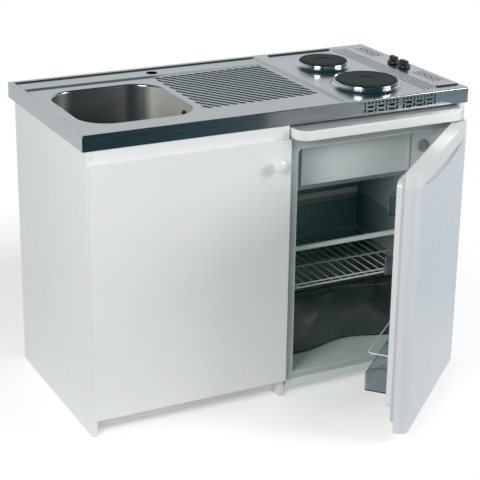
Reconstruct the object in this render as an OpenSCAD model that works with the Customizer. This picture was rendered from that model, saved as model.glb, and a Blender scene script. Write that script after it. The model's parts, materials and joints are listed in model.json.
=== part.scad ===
// Kitchenette unit: a folded steel worktop with sink, drainer and hob stands on three side
// panels, with a one-door sink cabinet on the left and a small refrigerator on the right.
// Millimetres, +Z up, the front faces -Y, origin on the floor at the middle of the unit.

/* [Unit] */
// Overall width of the worktop
unit_w = 1200; // [1180:1:1320]
// Overall depth of the worktop
unit_d = 600; // [595:1:640]
// Height of the worktop above the floor
unit_h = 870; // [868:1:920]

/* [Cabinet] */
// Thickness of the boards
board = 16; // [15:0.5:19]
// Worktop overhang beyond each side panel
side_inset = 10; // [6:1:14]
// Distance from the worktop front to the panel fronts
panel_setback = 2; // [2:0.5:4]
// Worktop overhang behind the panels
rear_overhang = 30; // [24:1:32]
// Height of the base board's underside
base_h = 62; // [50:1:90]
// Clear height below the plinth
plinth_gap = 12; // [4:1:30]
// Distance from panel front to plinth front
plinth_setback = 30; // [20:1:80]
// Height of the front rail below the worktop
front_rail_h = 42; // [40:1:60]
// Height of the rear rails below the worktop
rear_rail_h = 80; // [50:1:110]
// Thickness of the back panel
back_t = 3; // [2.5:0.5:5]
// Height of the back panel's top edge
back_top = 560; // [300:1:580]

/* [Cabinet door] */
// Thickness of the door
door_t = 16; // [15:0.5:18]
// Gap between the door and the panel fronts
door_gap = 1; // [1:0.1:1.5]
// Part of the left panel's edge left in view
door_reveal = 4; // [2:0.5:6]
// Height of the door's bottom edge
door_bottom = 56; // [40:1:62]
// Rail height left in view above the door
door_top_gap = 38; // [34:1:40]
// Diameter of the knob's head
door_knob_d = 37; // [28:1:42]
// Distance of the knob's head from the door
door_knob_h = 30; // [24:1:36]
// Knob centre from the door's free edge
door_knob_x = 44; // [35:1:60]
// Knob centre from the door's top edge
door_knob_z = 65; // [40:1:100]
// Diameter of the concealed hinge cups
cup_d = 35; // [26:1:35]
// Depth of the concealed hinge cups
cup_h = 11.5; // [10:0.5:13]
// Distance of each hinge from the door's end
hinge_end = 95; // [80:1:130]
// Length of the hinge arms on the panel
arm_l = 86; // [60:1:90]

/* [Worktop] */
// Height of the folded band round the worktop
band_h = 45; // [42:1:50]
// Thickness of the steel sheet
sheet = 1.2; // [1:0.1:1.5]
// Width of the folded return under the band
return_w = 26; // [26:1:34]
// Width of the folded return at the rear
return_rear_w = 48; // [48:1:60]
// Depth of the tap ledge below the rim
ledge_drop = 4; // [3:0.5:5]
// Depth of the sink area below the rim
sink_drop = 8; // [7:0.5:9]
// Rim width behind the tap ledge
rim_rear = 15; // [12:1:18]
// Rim width beside and before the sink area
rim_side = 12; // [10:1:14]
// Depth of the tap ledge, front to back
ledge_d = 55; // [50:1:60]
// Length of the slopes between the levels
slope = 15; // [12:1:18]
// Distance from the hotplates' centre line to the sink area's end
hob_left = 135; // [130:1:140]

/* [Sink] */
// Width of the bowl's opening
bowl_w = 335; // [310:1:340]
// Length of the bowl's opening, front to back
bowl_l = 355; // [320:1:360]
// Corner radius of the bowl's opening
bowl_r = 88; // [60:1:100]
// Depth of the bowl
bowl_depth = 150; // [130:1:165]
// Distance from the bowl's centre to the unit's left side
bowl_x = 226; // [222:1:232]
// Bowl centre behind the worktop's middle
bowl_y = -18; // [-20:1:-14]
// Radius of the waste hole in the bowl
waste_r = 26; // [22:1:28]
// Outer radius of the waste pipe
pipe_r = 20; // [16:0.5:20]
// Radius of the tap hole
tap_r = 17.5; // [15:0.5:18]
// Distance from the tap hole to the bowl's centre
tap_x = 205; // [190:1:225]
// Height of the overflow below the sink area
overflow_drop = 40; // [36:1:46]
// Distance from the overflow to the bowl's centre
overflow_y = 60; // [50:1:66]
// Distance from the bowl's underside to the foot of the trap's cup
trap_drop = 152; // [140:1:165]
// Height of the trap's cup
trap_h = 94; // [80:1:100]
// Height of the outlet above the foot of the trap's cup
outlet_rise = 72; // [60:1:74]

/* [Drainer] */
// Gap between the bowl and the grooved field
drainer_gap = 21.5; // [20:0.5:26]
// Distance from the field's right edge to the sink area's end
drainer_inset = 27; // [26:1:34]
// Distance from the field's rear edge to the slope behind it
drainer_rear = 6; // [4:1:12]
// Distance from the field's front edge to the slope before it
drainer_front = 105; // [100:1:115]
// Distance between grooves
groove_pitch = 22.4; // [18:0.1:26]
// Depth of the grooves
groove_h = 2.4; // [1.5:0.1:3]
// Slant of the grooves
groove_turn = -59; // [-65:1:-50]

/* [Hob] */
// Diameter of the front hotplate
plate_front_d = 180; // [160:1:182]
// Diameter of the rear hotplate
plate_rear_d = 145; // [130:1:150]
// Hotplate centres from the worktop's right side
plate_right = 265; // [260:1:270]
// Front hotplate centre from the worktop's front
plate_front = 140; // [136:1:144]
// Rear hotplate centre from the worktop's rear
plate_rear = 208; // [200:1:210]
// Height of the pressed seats
seat_h = 7; // [5:0.5:8]
// Height of the cast iron top above the worktop
plate_top = 22; // [20:0.5:24]
// Control column from the worktop's right side
control_x = 44; // [40:1:50]
// Rear control knob behind the unit's middle
knob_rear_y = 38; // [34:1:42]
// Front control knob before the unit's middle
knob_front_y = 20; // [16:1:24]
// Radius of the control knob's skirt
knob_r = 20; // [17:0.5:21]
// Height of the control knob
knob_h = 22; // [20:1:28]
// Start of the band's left vent from the worktop's right side
vent_left = 352; // [350:0.5:354]
// Start of the band's right vent from the worktop's right side
vent_right = 223.5; // [220:0.5:226]
// Distance between the upright slots of a vent
vent_cell = 35.2; // [32:0.1:36]
// Start of the control column's front vent before the knobs' middle
vent_front_y = 203; // [200:1:206]
// Start of the control column's rear vent behind the knobs' middle
vent_rear_y = 131; // [128:1:134]
// Length of the bead behind the rear hotplate
bead_rear_l = 228; // [210:1:236]
// Length of the bead in the front right corner
bead_corner_l = 84; // [76:1:88]
// Distance from the fine lines' ends to the worktop's edges
line_end = 35; // [32:1:45]
// Terminal box behind the unit's middle
terminal_y = 110; // [90:1:130]

/* [Refrigerator] */
// Gap between the middle panel and the refrigerator
fridge_gap = 6; // [5:0.5:8]
// Gap between the refrigerator and the right panel
fridge_gap_right = 10; // [8:0.5:12]
// Gap between the refrigerator and the rail behind it
fridge_gap_rear = 19; // [17:1:24]
// Gap between the refrigerator's cover and the worktop
fridge_gap_top = 7; // [5:0.5:9]
// Height of the base frame's underside
fridge_base = 28; // [24:1:34]
// Height of the base frame
frame_h = 22; // [20:1:26]
// Thickness of the moulded top cover
cover_h = 30; // [26:1:32]
// Reach of the top cover before the cabinet
cover_reach = 50; // [50:1:54]
// Thickness of the cabinet's sides at the opening
side_wall = 20; // [18:0.5:24]
// Thickness of the cabinet's rear wall
rear_wall = 40; // [36:1:46]
// Height of the liner floor's underside
opening_bottom = 68; // [64:1:70]
// Height from the liner roof's upper side to the cabinet's top
roof_wall = 31; // [28:1:34]
// Thickness of the liner
liner_t = 2; // [1.6:0.1:2.4]
// Height of the step over the compressor
hump_h = 225; // [215:1:235]
// Depth of the step over the compressor
hump_d = 125; // [115:1:130]

/* [Refrigerator door] */
// Angle at which the door stands ajar
ajar = 42; // [30:1:60]
// Thickness of the door at its edges
fdoor_t = 39; // [36:0.5:39]
// Swell of the door's front
fdoor_bulge = 8; // [4:0.5:8]
// Height of the door's bottom edge
fdoor_bottom = 30; // [29.5:0.5:34]
// Gap between the door's top edge and the cabinet's top
fdoor_head_gap = 5; // [4.5:0.5:8]
// Height of the grip cap at the door's top
grip_cap_h = 43; // [38:1:48]
// Depth of the grip hollow below the cap
grip_drop = 24; // [18:1:30]
// Width of the grip hollow
grip_w = 470; // [420:1:490]
// Hinge pin centre from the door's hinge edge
pin_x = 8; // [8:0.2:9]
// Hinge pin radius
pin_r = 4; // [3:0.1:4]
// Depth of the raised dike inside the door
dike_h = 30; // [24:1:32]
// Distance from the opening's top to the top rack's floor
rack_top_drop = 117; // [109:1:124]
// Height of the middle rack's floor
rack_mid_z = 466; // [450:1:480]
// Height of the bottom rack's floor
rack_low_z = 115; // [110:1:125]
// Depth of the upper racks
rack_d = 60; // [56:1:64]
// Height of the top rack
rack_top_h = 58; // [50:1:62]
// Height of the middle rack
rack_mid_h = 64; // [56:1:70]
// Depth of the bottom rack
rack_low_d = 100; // [92:1:102]
// Height of the bottom rack at the door
rack_low_h = 80; // [74:1:92]
// Height of the bottom rack's front
rack_low_front = 48; // [44:1:60]
// Height of the bottle wire above the bottom rack's floor
wire_rise = 115; // [105:1:125]

/* [Refrigerator inside] */
// Height of the freezer box
freezer_h = 141; // [136:1:146]
// Width of the trim between the freezer box and the liner
freezer_trim = 56; // [40:1:60]
// Distance from the freezer box to the liner's rear wall
freezer_rear = 58; // [40:1:80]
// Width of the control housing beside the freezer box
housing_w = 80; // [74:1:90]
// Depth of the control housing
housing_d = 190; // [170:1:220]
// Height of the thermostat dial above the freezer box's foot
dial_rise = 70; // [60:1:80]
// Distance from the opening to the freezer flap
flap_back = 75; // [73:1:82]
// Thickness of the freezer flap
flap_t = 8; // [6:0.5:9]
// Height of the glass shelf
shelf_z = 408; // [400:1:420]
// Height of the wire shelf
wire_shelf_z = 287; // [280:1:292]
// Distance from the opening to the shelf fronts
shelf_back = 110; // [108:1:120]
// Height of the crisper drawer
crisper_h = 170; // [150:1:176]
// Distance from the crisper to the liner's sides
crisper_side = 28; // [26:1:34]
// Distance from the opening to the crisper's front
crisper_back = 102; // [100:1:106]
// Depth of the grip recess in the crisper's front
crisper_recess = 36; // [30:1:40]

/* [Hidden] */
$fn = 64;

eps = 0.02;
fit = 0.1;             // clearance of fixed parts that sit in one another
run = 0.05;            // radial clearance of turning parts

// cabinet
side_x = unit_w/2 - side_inset;
panel_top = unit_h - band_h;
front_y = -unit_d/2 + panel_setback;
rear_y = unit_d/2 - rear_overhang;
sink_x0 = -side_x + board;
sink_x1 = -board/2;
bay_x0 = board/2;
bay_x1 = side_x - board;
door_x0 = -side_x + door_reveal;
door_x1 = bay_x0 - 2;
door_y1 = front_y - door_gap;
door_y0 = door_y1 - door_t;
door_z1 = panel_top - door_top_gap;
cup_x = door_x0 + 22.5;
hinge_zs = [door_bottom + hinge_end, door_z1 - hinge_end];

// worktop levels
floor_z = unit_h - sink_drop;
area_x0 = -unit_w/2 + rim_side;
area_y0 = -unit_d/2 + rim_side;
ledge_y1 = unit_d/2 - rim_rear - slope;
ledge_y0 = ledge_y1 - ledge_d;
bowl_cx = -unit_w/2 + bowl_x;
plate_x = unit_w/2 - plate_right;
plate_front_y = plate_front - unit_d/2;
plate_rear_y = unit_d/2 - plate_rear;
sink_area_x = plate_x - hob_left;
drain_x0 = bowl_cx + bowl_w/2 + drainer_gap;
drain_x1 = sink_area_x - drainer_inset;
drain_y0 = area_y0 + slope + drainer_front;
drain_y1 = ledge_y0 - slope - drainer_rear;
tap_y = (ledge_y0 + ledge_y1)/2;
control_cx = unit_w/2 - control_x;
overflow_z = floor_z - overflow_drop;
bowl_bottom = floor_z - bowl_depth;
knobs_y = (knob_rear_y - knob_front_y)/2;
waste_z = bowl_bottom - sheet;
trap_z = waste_z - trap_drop;
outlet_z = trap_z + outlet_rise;

// hob
hole_inset = 8;        // hotplate rim to the hole in the worktop
seat_w = 9;            // flat of the seat beyond the hotplate

// refrigerator
fx0 = bay_x0 + fridge_gap;
fx1 = bay_x1 - fridge_gap_right;
fridge_w = fx1 - fx0;
fcx = (fx0 + fx1)/2;
fy0 = -unit_d/2;
fy1 = rear_y - board - fridge_gap_rear;
fridge_top = panel_top - fridge_gap_top - cover_h;
opening_top = fridge_top - roof_wall;
fdoor_top = fridge_top - fdoor_head_gap;
fz0 = fridge_base + frame_h;
ox0 = fx0 + side_wall;
ox1 = fx1 - side_wall;
liner_y1 = fy1 - rear_wall;
hump_y = liner_y1 - hump_d;
pin_cx = fx1 - pin_x;
pin_cy = fy0 - 27;
fdoor_y1 = fy0 - 11;
fdoor_y0 = fdoor_y1 - fdoor_t;
grip_z = fdoor_top - grip_cap_h;
dike_w = 22;
dike_x0 = ox0 + 16;
dike_x1 = ox1 - 16;
dike_z0 = opening_bottom + 14;
dike_z1 = opening_top - 12;
freezer_x0 = ox0 + freezer_trim;
freezer_x1 = ox1 - liner_t - housing_w - 4;
freezer_z1 = opening_top - liner_t;
freezer_z = freezer_z1 - freezer_h;
rack_top_z = opening_top - rack_top_drop;
flap_y = fy0 + flap_back;
shelf_y = fy0 + shelf_back;
shelf_y1 = liner_y1 - liner_t - 1;
crisper_x0 = ox0 + liner_t + crisper_side;
crisper_x1 = ox1 - liner_t - crisper_side;
crisper_z0 = opening_bottom + liner_t + 4;
crisper_z1 = crisper_z0 + crisper_h;
crisper_y0 = fy0 + crisper_back;
crisper_y1 = hump_y - 20;

// ---- shapes that repeat ------------------------------------------------------------------

module rounded(w, l, r) {
    square([w - 2*r, l], center=true);
    square([w, l - 2*r], center=true);
    for (sx = [-1, 1], sy = [-1, 1])
        translate([sx*(w/2 - r), sy*(l/2 - r)]) circle(r);
}

// box from two corners
module block(a, b) { translate(a) cube(b - a); }

// rounded plate standing in the XZ plane between two depths
module upright(x0, x1, y0, y1, z0, z1, r) {
    translate([(x0 + x1)/2, y1, (z0 + z1)/2]) rotate([90, 0, 0])
        linear_extrude(y1 - y0) rounded(x1 - x0, z1 - z0, r);
}

// pressed bead with round ends and sloping sides, lying along X
module bead(l, w, h) {
    for (s = [-1, 1]) translate([s*(l - w)/2, 0, -eps]) cylinder(h=h + eps, r1=w/2, r2=w/2 - h);
    rotate([90, 0, 90]) linear_extrude(l - w, center=true)
        polygon([[-w/2, -eps], [w/2, -eps], [w/2 - h, h], [h - w/2, h]]);
}

// tube along a straight line between two points
module bar(a, b, r) {
    d = b - a;
    translate(a) rotate([0, acos(d[2]/norm(d)), atan2(d[1], d[0])]) cylinder(h=norm(d), r=r, $fn=24);
}

// everything on the refrigerator's door stands at its open angle
module ajar_door() {
    translate([pin_cx, pin_cy, 0]) rotate([0, 0, ajar]) translate([-pin_cx, -pin_cy, 0]) children();
}

// ---- cabinet -----------------------------------------------------------------------------

module side_board(x) { block([x, front_y, 0], [x + board, rear_y, panel_top]); }
module left_panel() { color("white") side_board(-side_x); }
module middle_panel() { color("white") side_board(-board/2); }
module right_panel() { color("white") side_board(side_x - board); }

module base_board() {
    color("white") block([sink_x0, front_y + 2, base_h], [sink_x1, rear_y - back_t, base_h + board]);
}

module back_panel() {
    color("white") block([sink_x0, rear_y - back_t, base_h], [sink_x1, rear_y, back_top]);
}

module front_rail() {
    color("white") block([sink_x0, front_y, panel_top - front_rail_h],
                         [sink_x1, front_y + board, panel_top]);
}

module rear_board(x0, x1) {
    block([x0, rear_y - board, panel_top - rear_rail_h], [x1, rear_y, panel_top]);
}
module rear_rail() { color("white") rear_board(sink_x0, sink_x1); }
module bay_rail() { color("white") rear_board(bay_x0, bay_x1); }

module plinth() {
    y = front_y + plinth_setback;
    color("white") block([sink_x0, y, plinth_gap], [sink_x1, y + board, base_h]);
}

// caps over the screws that hold the base board
module cover_caps() {
    color("gainsboro") for (y = [front_y + 28, rear_y - 64])
        translate([-side_x, y, base_h + board/2]) rotate([0, -90, 0]) cylinder(h=1, r1=6.5, r2=5.5);
}

module cabinet_door() {
    color("white") difference() {
        block([door_x0, door_y0, door_bottom], [door_x1, door_y1, door_z1]);
        for (z = hinge_zs) translate([cup_x, door_y1 + 1, z]) rotate([90, 0, 0])
            cylinder(h=cup_h + 1.5, r=cup_d/2 + fit);
        translate([door_x1 - door_knob_x, door_y1 + 1, door_z1 - door_knob_z]) rotate([90, 0, 0])
            cylinder(h=door_t + 2, r=2.3);
    }
}

module door_knob() {
    r = door_knob_d/2;
    h = door_knob_h;
    color("white") translate([door_x1 - door_knob_x, door_y0, door_z1 - door_knob_z])
        rotate([90, 0, 0]) rotate_extrude() difference() {
            union() {
                square([r*0.56, 2.5]);
                square([r*0.42, h*0.6]);
                translate([0, h*0.6]) square([r, h*0.16]);
                intersection() {
                    translate([0, h*0.76 - r*1.6]) circle(r*1.886);
                    translate([0, h*0.76]) square([r, h]);
                }
                translate([0, h*0.45]) polygon([[0, 0], [r*0.42, 0], [r, h*0.15], [0, h*0.15]]);
            }
            translate([-eps, -1]) square([2 + eps, h*0.5]);
        }
}

module hinge_cups() {
    color("silver") for (z = hinge_zs) translate([cup_x, door_y1, z]) rotate([90, 0, 0])
        difference() {
            union() {
                cylinder(h=cup_h, r=cup_d/2);
                translate([0, 0, -0.8]) linear_extrude(0.8) rounded(20, 56, 6);
            }
            translate([0, 0, -1]) linear_extrude(cup_h - 0.5) rounded(14, 26, 6);
        }
}

module hinge_arms() {
    color("silver") for (z = hinge_zs) {
        block([sink_x0, front_y + 28, z - 26], [sink_x0 + 2.5, front_y + 48, z + 26]);
        block([sink_x0 + 2.5, front_y + 6, z - 8], [sink_x0 + 12, front_y + 6 + arm_l, z + 8]);
        translate([sink_x0 + 9, front_y + 8, z]) cylinder(h=18, r=5, center=true);
    }
}

// ---- worktop and sink --------------------------------------------------------------------

// the hollow above the sunken sink area, lowered by drop for the sheet's underside
module sink_hollow(drop) {
    front = [[area_y0, unit_h + 5], [area_y0, unit_h], [area_y0 + slope, floor_z]];
    back = [[ledge_y0 - slope, floor_z], [ledge_y0, unit_h - ledge_drop],
            [ledge_y1, unit_h - ledge_drop], [ledge_y1 + slope, unit_h],
            [ledge_y1 + slope, unit_h + 5]];
    ends = [[area_x0, unit_h + 5], [area_x0, unit_h], [area_x0 + slope, floor_z],
            [sink_area_x - 1.4*slope, floor_z], [sink_area_x, unit_h], [sink_area_x, unit_h + 5]];
    translate([0, 0, -drop]) intersection() {
        translate([area_x0 - 5, 0, 0]) rotate([90, 0, 90])
            linear_extrude(sink_area_x - area_x0 + 10) polygon(concat(front, back));
        translate([0, unit_d/2, 0]) rotate([90, 0, 0]) linear_extrude(unit_d) polygon(ends);
    }
}

// row of small square openings
module vent_squares(cells) {
    for (i = [0:3*cells]) translate([i*vent_cell/3 - 3, 0, -3]) cube([6, 6, 6]);
}

// basket-weave vent: upright slots with pairs of long slots between them, and squares beside them
module vent(cells) {
    for (i = [0:cells]) translate([i*vent_cell - 3, 0, -3]) {
        cube([6, 12, 6]);
        translate([0, 16, 0]) cube([6, 5, 6]);
    }
    for (i = [0:cells - 1], y = [0, 12.5])
        translate([i*vent_cell + vent_cell/2 - 10, y, -3]) cube([20, 6, 6]);
    translate([0, 24, 0]) vent_squares(cells);
}

// vents of the worktop's front band and of the control column
module vents() {
    for (x = [vent_left, vent_right])
        translate([unit_w/2 - x, -unit_d/2, panel_top + 8]) rotate([90, 0, 0]) vent(3);
    for (y = [knobs_y - vent_front_y, knobs_y + vent_rear_y])
        translate([control_cx + 15, y, unit_h]) rotate([0, 0, 90]) {
            vent(3);
            translate([0, -11.5, 0]) vent_squares(3);
        }
}

// pressed seat that carries a hotplate's rim
module seat(r) {
    rotate_extrude() polygon([
        [r + seat_w + 12, -sheet], [r + seat_w + 12, 0], [r + seat_w, seat_h],
        [r - hole_inset, seat_h], [r - hole_inset, seat_h - sheet],
        [r + seat_w - 0.8, seat_h - sheet], [r + seat_w + 9, -sheet]]);
}

module plate_places() {
    translate([plate_x, plate_front_y, unit_h]) children(0);
    translate([plate_x, plate_rear_y, unit_h]) children(1);
}

module worktop() {
    w = unit_w/2;
    l = unit_d/2;
    color("silver") difference() {
        union() {
            difference() {
                block([-w, -l, panel_top], [w, l, unit_h]);
                difference() {
                    block([sheet - w, sheet - l, panel_top + sheet],
                          [w - sheet, l - sheet, unit_h - sheet]);
                    sink_hollow(sheet);
                }
                block([return_w - w, return_w - l, panel_top - 1],
                      [w - return_w, l - return_rear_w, panel_top + sheet + 1]);
                plate_places() {
                    translate([0, 0, -9]) cylinder(h=20, r=plate_front_d/2 + seat_w + 10);
                    translate([0, 0, -9]) cylinder(h=20, r=plate_rear_d/2 + seat_w + 10);
                }
            }
            plate_places() {
                seat(plate_front_d/2);
                seat(plate_rear_d/2);
            }
            translate([plate_x + 18, l - 26, unit_h]) bead(bead_rear_l, 22, 3);
            translate([w - 48, 46 - l, unit_h]) bead(bead_corner_l, 24, 3);
            for (i = [0:3]) translate([w - 130 + i*14, 0, unit_h]) rotate([0, 0, 90])
                bead(unit_d - 2*line_end, 4, 1);
        }
        sink_hollow(0);
        translate([bowl_cx, bowl_y, floor_z - 5]) linear_extrude(10) rounded(bowl_w, bowl_l, bowl_r);
        block([drain_x0 + 2, drain_y0 + 2, floor_z - 5], [drain_x1 - 2, drain_y1 - 2, floor_z + 5]);
        translate([bowl_cx + tap_x, tap_y, unit_h - 20]) cylinder(h=30, r=tap_r);
        for (y = [knob_rear_y, -knob_front_y]) translate([control_cx, y, unit_h - 5])
            cylinder(h=10, r=5);
        vents();
    }
    color("silver") drainer();
}

// grooved field: slanting grooves that run out at its edges
module drainer() {
    reach = drain_x1 - drain_x0 + drain_y1 - drain_y0;
    n = ceil(reach/groove_pitch/2);
    land = groove_pitch*0.23;
    flank = groove_pitch*0.17;
    groove = [[0, 0], [land, 0], [land + flank, -groove_h],
              [groove_pitch - flank, -groove_h]];
    intersection() {
        block([drain_x0, drain_y0, floor_z - groove_h - 1.3], [drain_x1, drain_y1, floor_z]);
        translate([(drain_x0 + drain_x1)/2, (drain_y0 + drain_y1)/2, floor_z])
            rotate([0, 0, groove_turn]) rotate([90, 0, 90])
                linear_extrude(reach, center=true) polygon(concat(
                    [for (i = [-n:n], p = groove) [i*groove_pitch + p[0], p[1]]],
                    [[(n + 1)*groove_pitch, -groove_h - 3], [-n*groove_pitch, -groove_h - 3]]));
    }
}

// bowl with drawn corners, lofted from its rim to a dished bottom
module bowl_form(t) {
    levels = [[0, -eps, 0], [6, 42 - bowl_depth, 4], [24, 12 - bowl_depth, 14],
              [60, -bowl_depth, 30]];
    hull() for (v = levels) translate([0, 0, v[1] - (v[1] < -bowl_depth + 1 ? t : 0)])
        linear_extrude(0.01)
            rounded(bowl_w - v[0] + 2*t, bowl_l - v[0] + 2*t, bowl_r - v[2] + t, $fn=32);
}

module sink_bowl() {
    z = floor_z - sheet;
    color("silver") translate([bowl_cx, bowl_y, z]) difference() {
        union() {
            bowl_form(sheet);
            translate([0, 0, -sheet]) linear_extrude(sheet)
                rounded(bowl_w + 24, bowl_l + 24, bowl_r + 12);
        }
        difference() {
            translate([0, 0, 2*eps]) bowl_form(0);
            translate([0, 0, -bowl_depth - 4]) cylinder(h=4 - eps, r=60);
        }
        translate([0, 0, -bowl_depth - 10]) cylinder(h=20, r=waste_r);
        translate([bowl_w/2 - 20, -overflow_y, overflow_z - z]) rotate([0, 90, 0]) cylinder(h=40, r=11);
    }
}

module basket_waste() {
    color("gainsboro") translate([bowl_cx, bowl_y, waste_z]) difference() {
        rotate_extrude() polygon([
            [3, -8], [waste_r - 3, -8], [waste_r - 3, 0.6], [waste_r + 12, 0.6],
            [waste_r + 10, 2.6], [waste_r - 6, 2.6], [waste_r - 7, -5], [3, -5]]);
        for (a = [0:30:330]) rotate([0, 0, a]) translate([waste_r*0.5, 0, -9]) cylinder(h=6, r=2.4);
    }
    color("white") translate([bowl_cx, bowl_y, waste_z]) rotate_extrude() polygon([
        [pipe_r - 2.5, -46], [pipe_r, -46], [pipe_r, -20], [waste_r + 6, -16],
        [waste_r + 12, -sheet - 0.9], [waste_r + 2, -sheet - 0.9], [waste_r - 3, -8],
        [waste_r - 5.5, -8], [pipe_r - 2.5, -20]]);
}

module bottle_trap() {
    color("white") translate([bowl_cx, bowl_y, 0]) difference() {
        union() {
            translate([0, 0, trap_z]) cylinder(h=trap_h, r=34);
            translate([0, 0, trap_z + trap_h]) cylinder(h=14, r=pipe_r + 7);
            translate([0, 0, trap_z - 14]) cylinder(h=14, r1=26, r2=30);
            translate([0, 0, outlet_z]) rotate([-90, 0, 0]) {
                cylinder(h=46, r=pipe_r + 3);
                translate([0, 0, 44]) cylinder(h=16, r=pipe_r + 6);
                translate([0, 0, 59]) cylinder(h=rear_y + 10 - bowl_y - 59, r=pipe_r);
            }
        }
        translate([0, 0, trap_z + 4]) cylinder(h=trap_h + 20, r=pipe_r + fit);
        translate([0, 10, outlet_z]) rotate([-90, 0, 0]) cylinder(h=unit_d, r=pipe_r - 2.5);
    }
}

rosette_t = 2.4;
rosette_x = bowl_cx + bowl_w/2 - 1.8;

module overflow_rosette() {
    color("dimgray") translate([rosette_x, bowl_y - overflow_y, overflow_z])
        rotate([0, 90, 0]) difference() {
            union() {
                translate([0, 0, -rosette_t]) cylinder(h=rosette_t, r=15);
                cylinder(h=11, r=10.6);
            }
            for (a = [0:60:300]) rotate([0, 0, a]) translate([5.6, 0, -3]) cylinder(h=16, r=1.8);
        }
}

module overflow_pipe() {
    x0 = bowl_cx + bowl_w/2 + 9.6;
    y = bowl_y - overflow_y;
    z1 = bowl_bottom - 34;
    color("white") union() {
        translate([x0, y, overflow_z]) rotate([0, 90, 0]) cylinder(h=18, r=13);
        translate([x0 + 10, y, overflow_z]) sphere(9);
        bar([x0 + 10, y, overflow_z], [x0 + 10, y, z1], 8);
        translate([x0 + 10, y, z1]) sphere(8);
        bar([x0 + 10, y, z1], [bowl_cx + pipe_r + 6, bowl_y - 8, z1], 8);
    }
}

// the plug hangs by its ball chain from the overflow and leans on the bowl's wall
ball_r = 1.5;
plug_r = waste_r - 5;
plug_at = [bowl_cx + bowl_w/2 - plug_r - 5, bowl_y - overflow_y, floor_z - 98];
chain_top = [rosette_x - rosette_t - ball_r - 0.3, bowl_y - overflow_y, overflow_z - 2];

module sink_plug() {
    color("dimgray") translate(plug_at) rotate_extrude() polygon([
        [0, -12], [plug_r - 4, -12], [plug_r, 0], [plug_r, 4], [4, 6], [2.4, 10], [0, 10]]);
}

// ball chain turned as one beaded rod
module plug_chain() {
    foot = plug_at + [0, 0, 10 + ball_r + fit];
    d = foot - chain_top;
    balls = round(norm(d)/(3*ball_r));
    side = [for (i = [0:balls], a = [-60:30:60])
        [ball_r*cos(a), i*norm(d)/balls + ball_r*sin(a)]];
    color("silver") translate(chain_top) rotate([0, acos(d[2]/norm(d)), atan2(d[1], d[0])])
        rotate_extrude($fn=24)
            polygon(concat([[0, -ball_r]], side, [[0, norm(d) + ball_r]]));
}

// ---- hob ---------------------------------------------------------------------------------

module hotplate(r) {
    color([0.2, 0.24, 0.23]) rotate_extrude() polygon([
        [0, -14], [r - 20, -14], [r - 13, -6], [r - 13, seat_h + 1.6], [r, seat_h + 1.6],
        [r, plate_top - 1.5], [r - 1.5, plate_top], [24, plate_top], [21, plate_top - 1.4],
        [0, plate_top - 1.4]]);
}
module hotplate_front() { translate([plate_x, plate_front_y, unit_h]) hotplate(plate_front_d/2); }
module hotplate_rear() { translate([plate_x, plate_rear_y, unit_h]) hotplate(plate_rear_d/2); }

// bright rim that laps the seat and rises round the cast iron
module plate_rim(r) {
    color("gainsboro") rotate_extrude() polygon([
        [r - 6, seat_h], [r + seat_w - 1, seat_h], [r + seat_w, seat_h + 1], [r + 5, seat_h + 3],
        [r + 3.4, plate_top - 5], [r + 2, plate_top - 3.6], [r + 0.2, plate_top - 4.2],
        [r + 0.2, seat_h + 1.6], [r - 6, seat_h + 1.6]]);
}
module rim_front() { translate([plate_x, plate_front_y, unit_h]) plate_rim(plate_front_d/2); }
module rim_rear_plate() { translate([plate_x, plate_rear_y, unit_h]) plate_rim(plate_rear_d/2); }

// bridge that pulls a hotplate down on its rim
module clamp_bridge(r) {
    foot = r + seat_w + 14;
    block([-foot, -10, -17], [foot, 10, -14]);
    for (s = [-1, 1]) translate([s*(foot - 3), 0, -14 + (14 - sheet)/2])
        cube([6, 20, 14 - sheet], center=true);
    translate([0, 0, -25]) cylinder(h=8, r=4);
    translate([0, 0, -23]) cylinder(h=6, r=7.5, $fn=6);
}
module clamp_bridges() {
    color("silver") plate_places() {
        clamp_bridge(plate_front_d/2);
        clamp_bridge(plate_rear_d/2);
    }
}

module heat_shield() {
    z = panel_top + sheet;
    x0 = sink_area_x + 12;
    x1 = unit_w/2 - sheet - 1;
    y0 = sheet + 1 - unit_d/2;
    y1 = unit_d/2 - sheet - 1;
    color("silver") {
        block([x0, y0, z], [x1, y1, z + 1]);
        block([x0, y0, z], [x0 + 1, y1, z + 14]);
    }
}

module switch_bodies() {
    color("ivory") for (y = [knob_rear_y, -knob_front_y]) translate([control_cx, y, unit_h])
        difference() {
            union() {
                block([-19, -19, -30], [19, 19, -6]);
                translate([0, 0, -6]) cylinder(h=6 - sheet, r=11);
            }
            translate([0, 0, -26]) cylinder(h=40, r=3 + run);
        }
}

module spindle(y) {
    color("silver") translate([control_cx, y, unit_h - 25]) cylinder(h=25 + knob_h*0.55, r=3);
}
module spindle_rear() { spindle(knob_rear_y); }
module spindle_front() { spindle(-knob_front_y); }

// control knob: foot, thin skirt and a bar grip
module knob(y) {
    color([0.08, 0.09, 0.1]) translate([control_cx, y, unit_h]) difference() {
        union() {
            translate([0, 0, 0.8]) cylinder(h=2, r=12.5);
            translate([0, 0, 2.4]) cylinder(h=4.8, r1=knob_r, r2=knob_r - 1.2);
            intersection() {
                translate([0, 0, 7]) cylinder(h=knob_h - 7, r1=knob_r - 2, r2=knob_r - 4);
                union() {
                    block([-6, -knob_r, 7], [6, knob_r, knob_h]);
                    translate([0, 0, 7]) cylinder(h=4, r1=14, r2=9);
                }
            }
        }
        translate([0, 0, -1]) cylinder(h=knob_h*0.55 + 1 + fit, r=3 + fit/2);
    }
}
module knob_rear() { knob(knob_rear_y); }
module knob_front() { knob(-knob_front_y); }

module terminal_box() {
    color("ivory") translate([control_cx, terminal_y, panel_top + sheet + 1]) difference() {
        block([-22, -36, 0], [22, 36, 26]);
        translate([0, 20, 14]) rotate([-90, 0, 0]) cylinder(h=20, r=6);
    }
}

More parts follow.
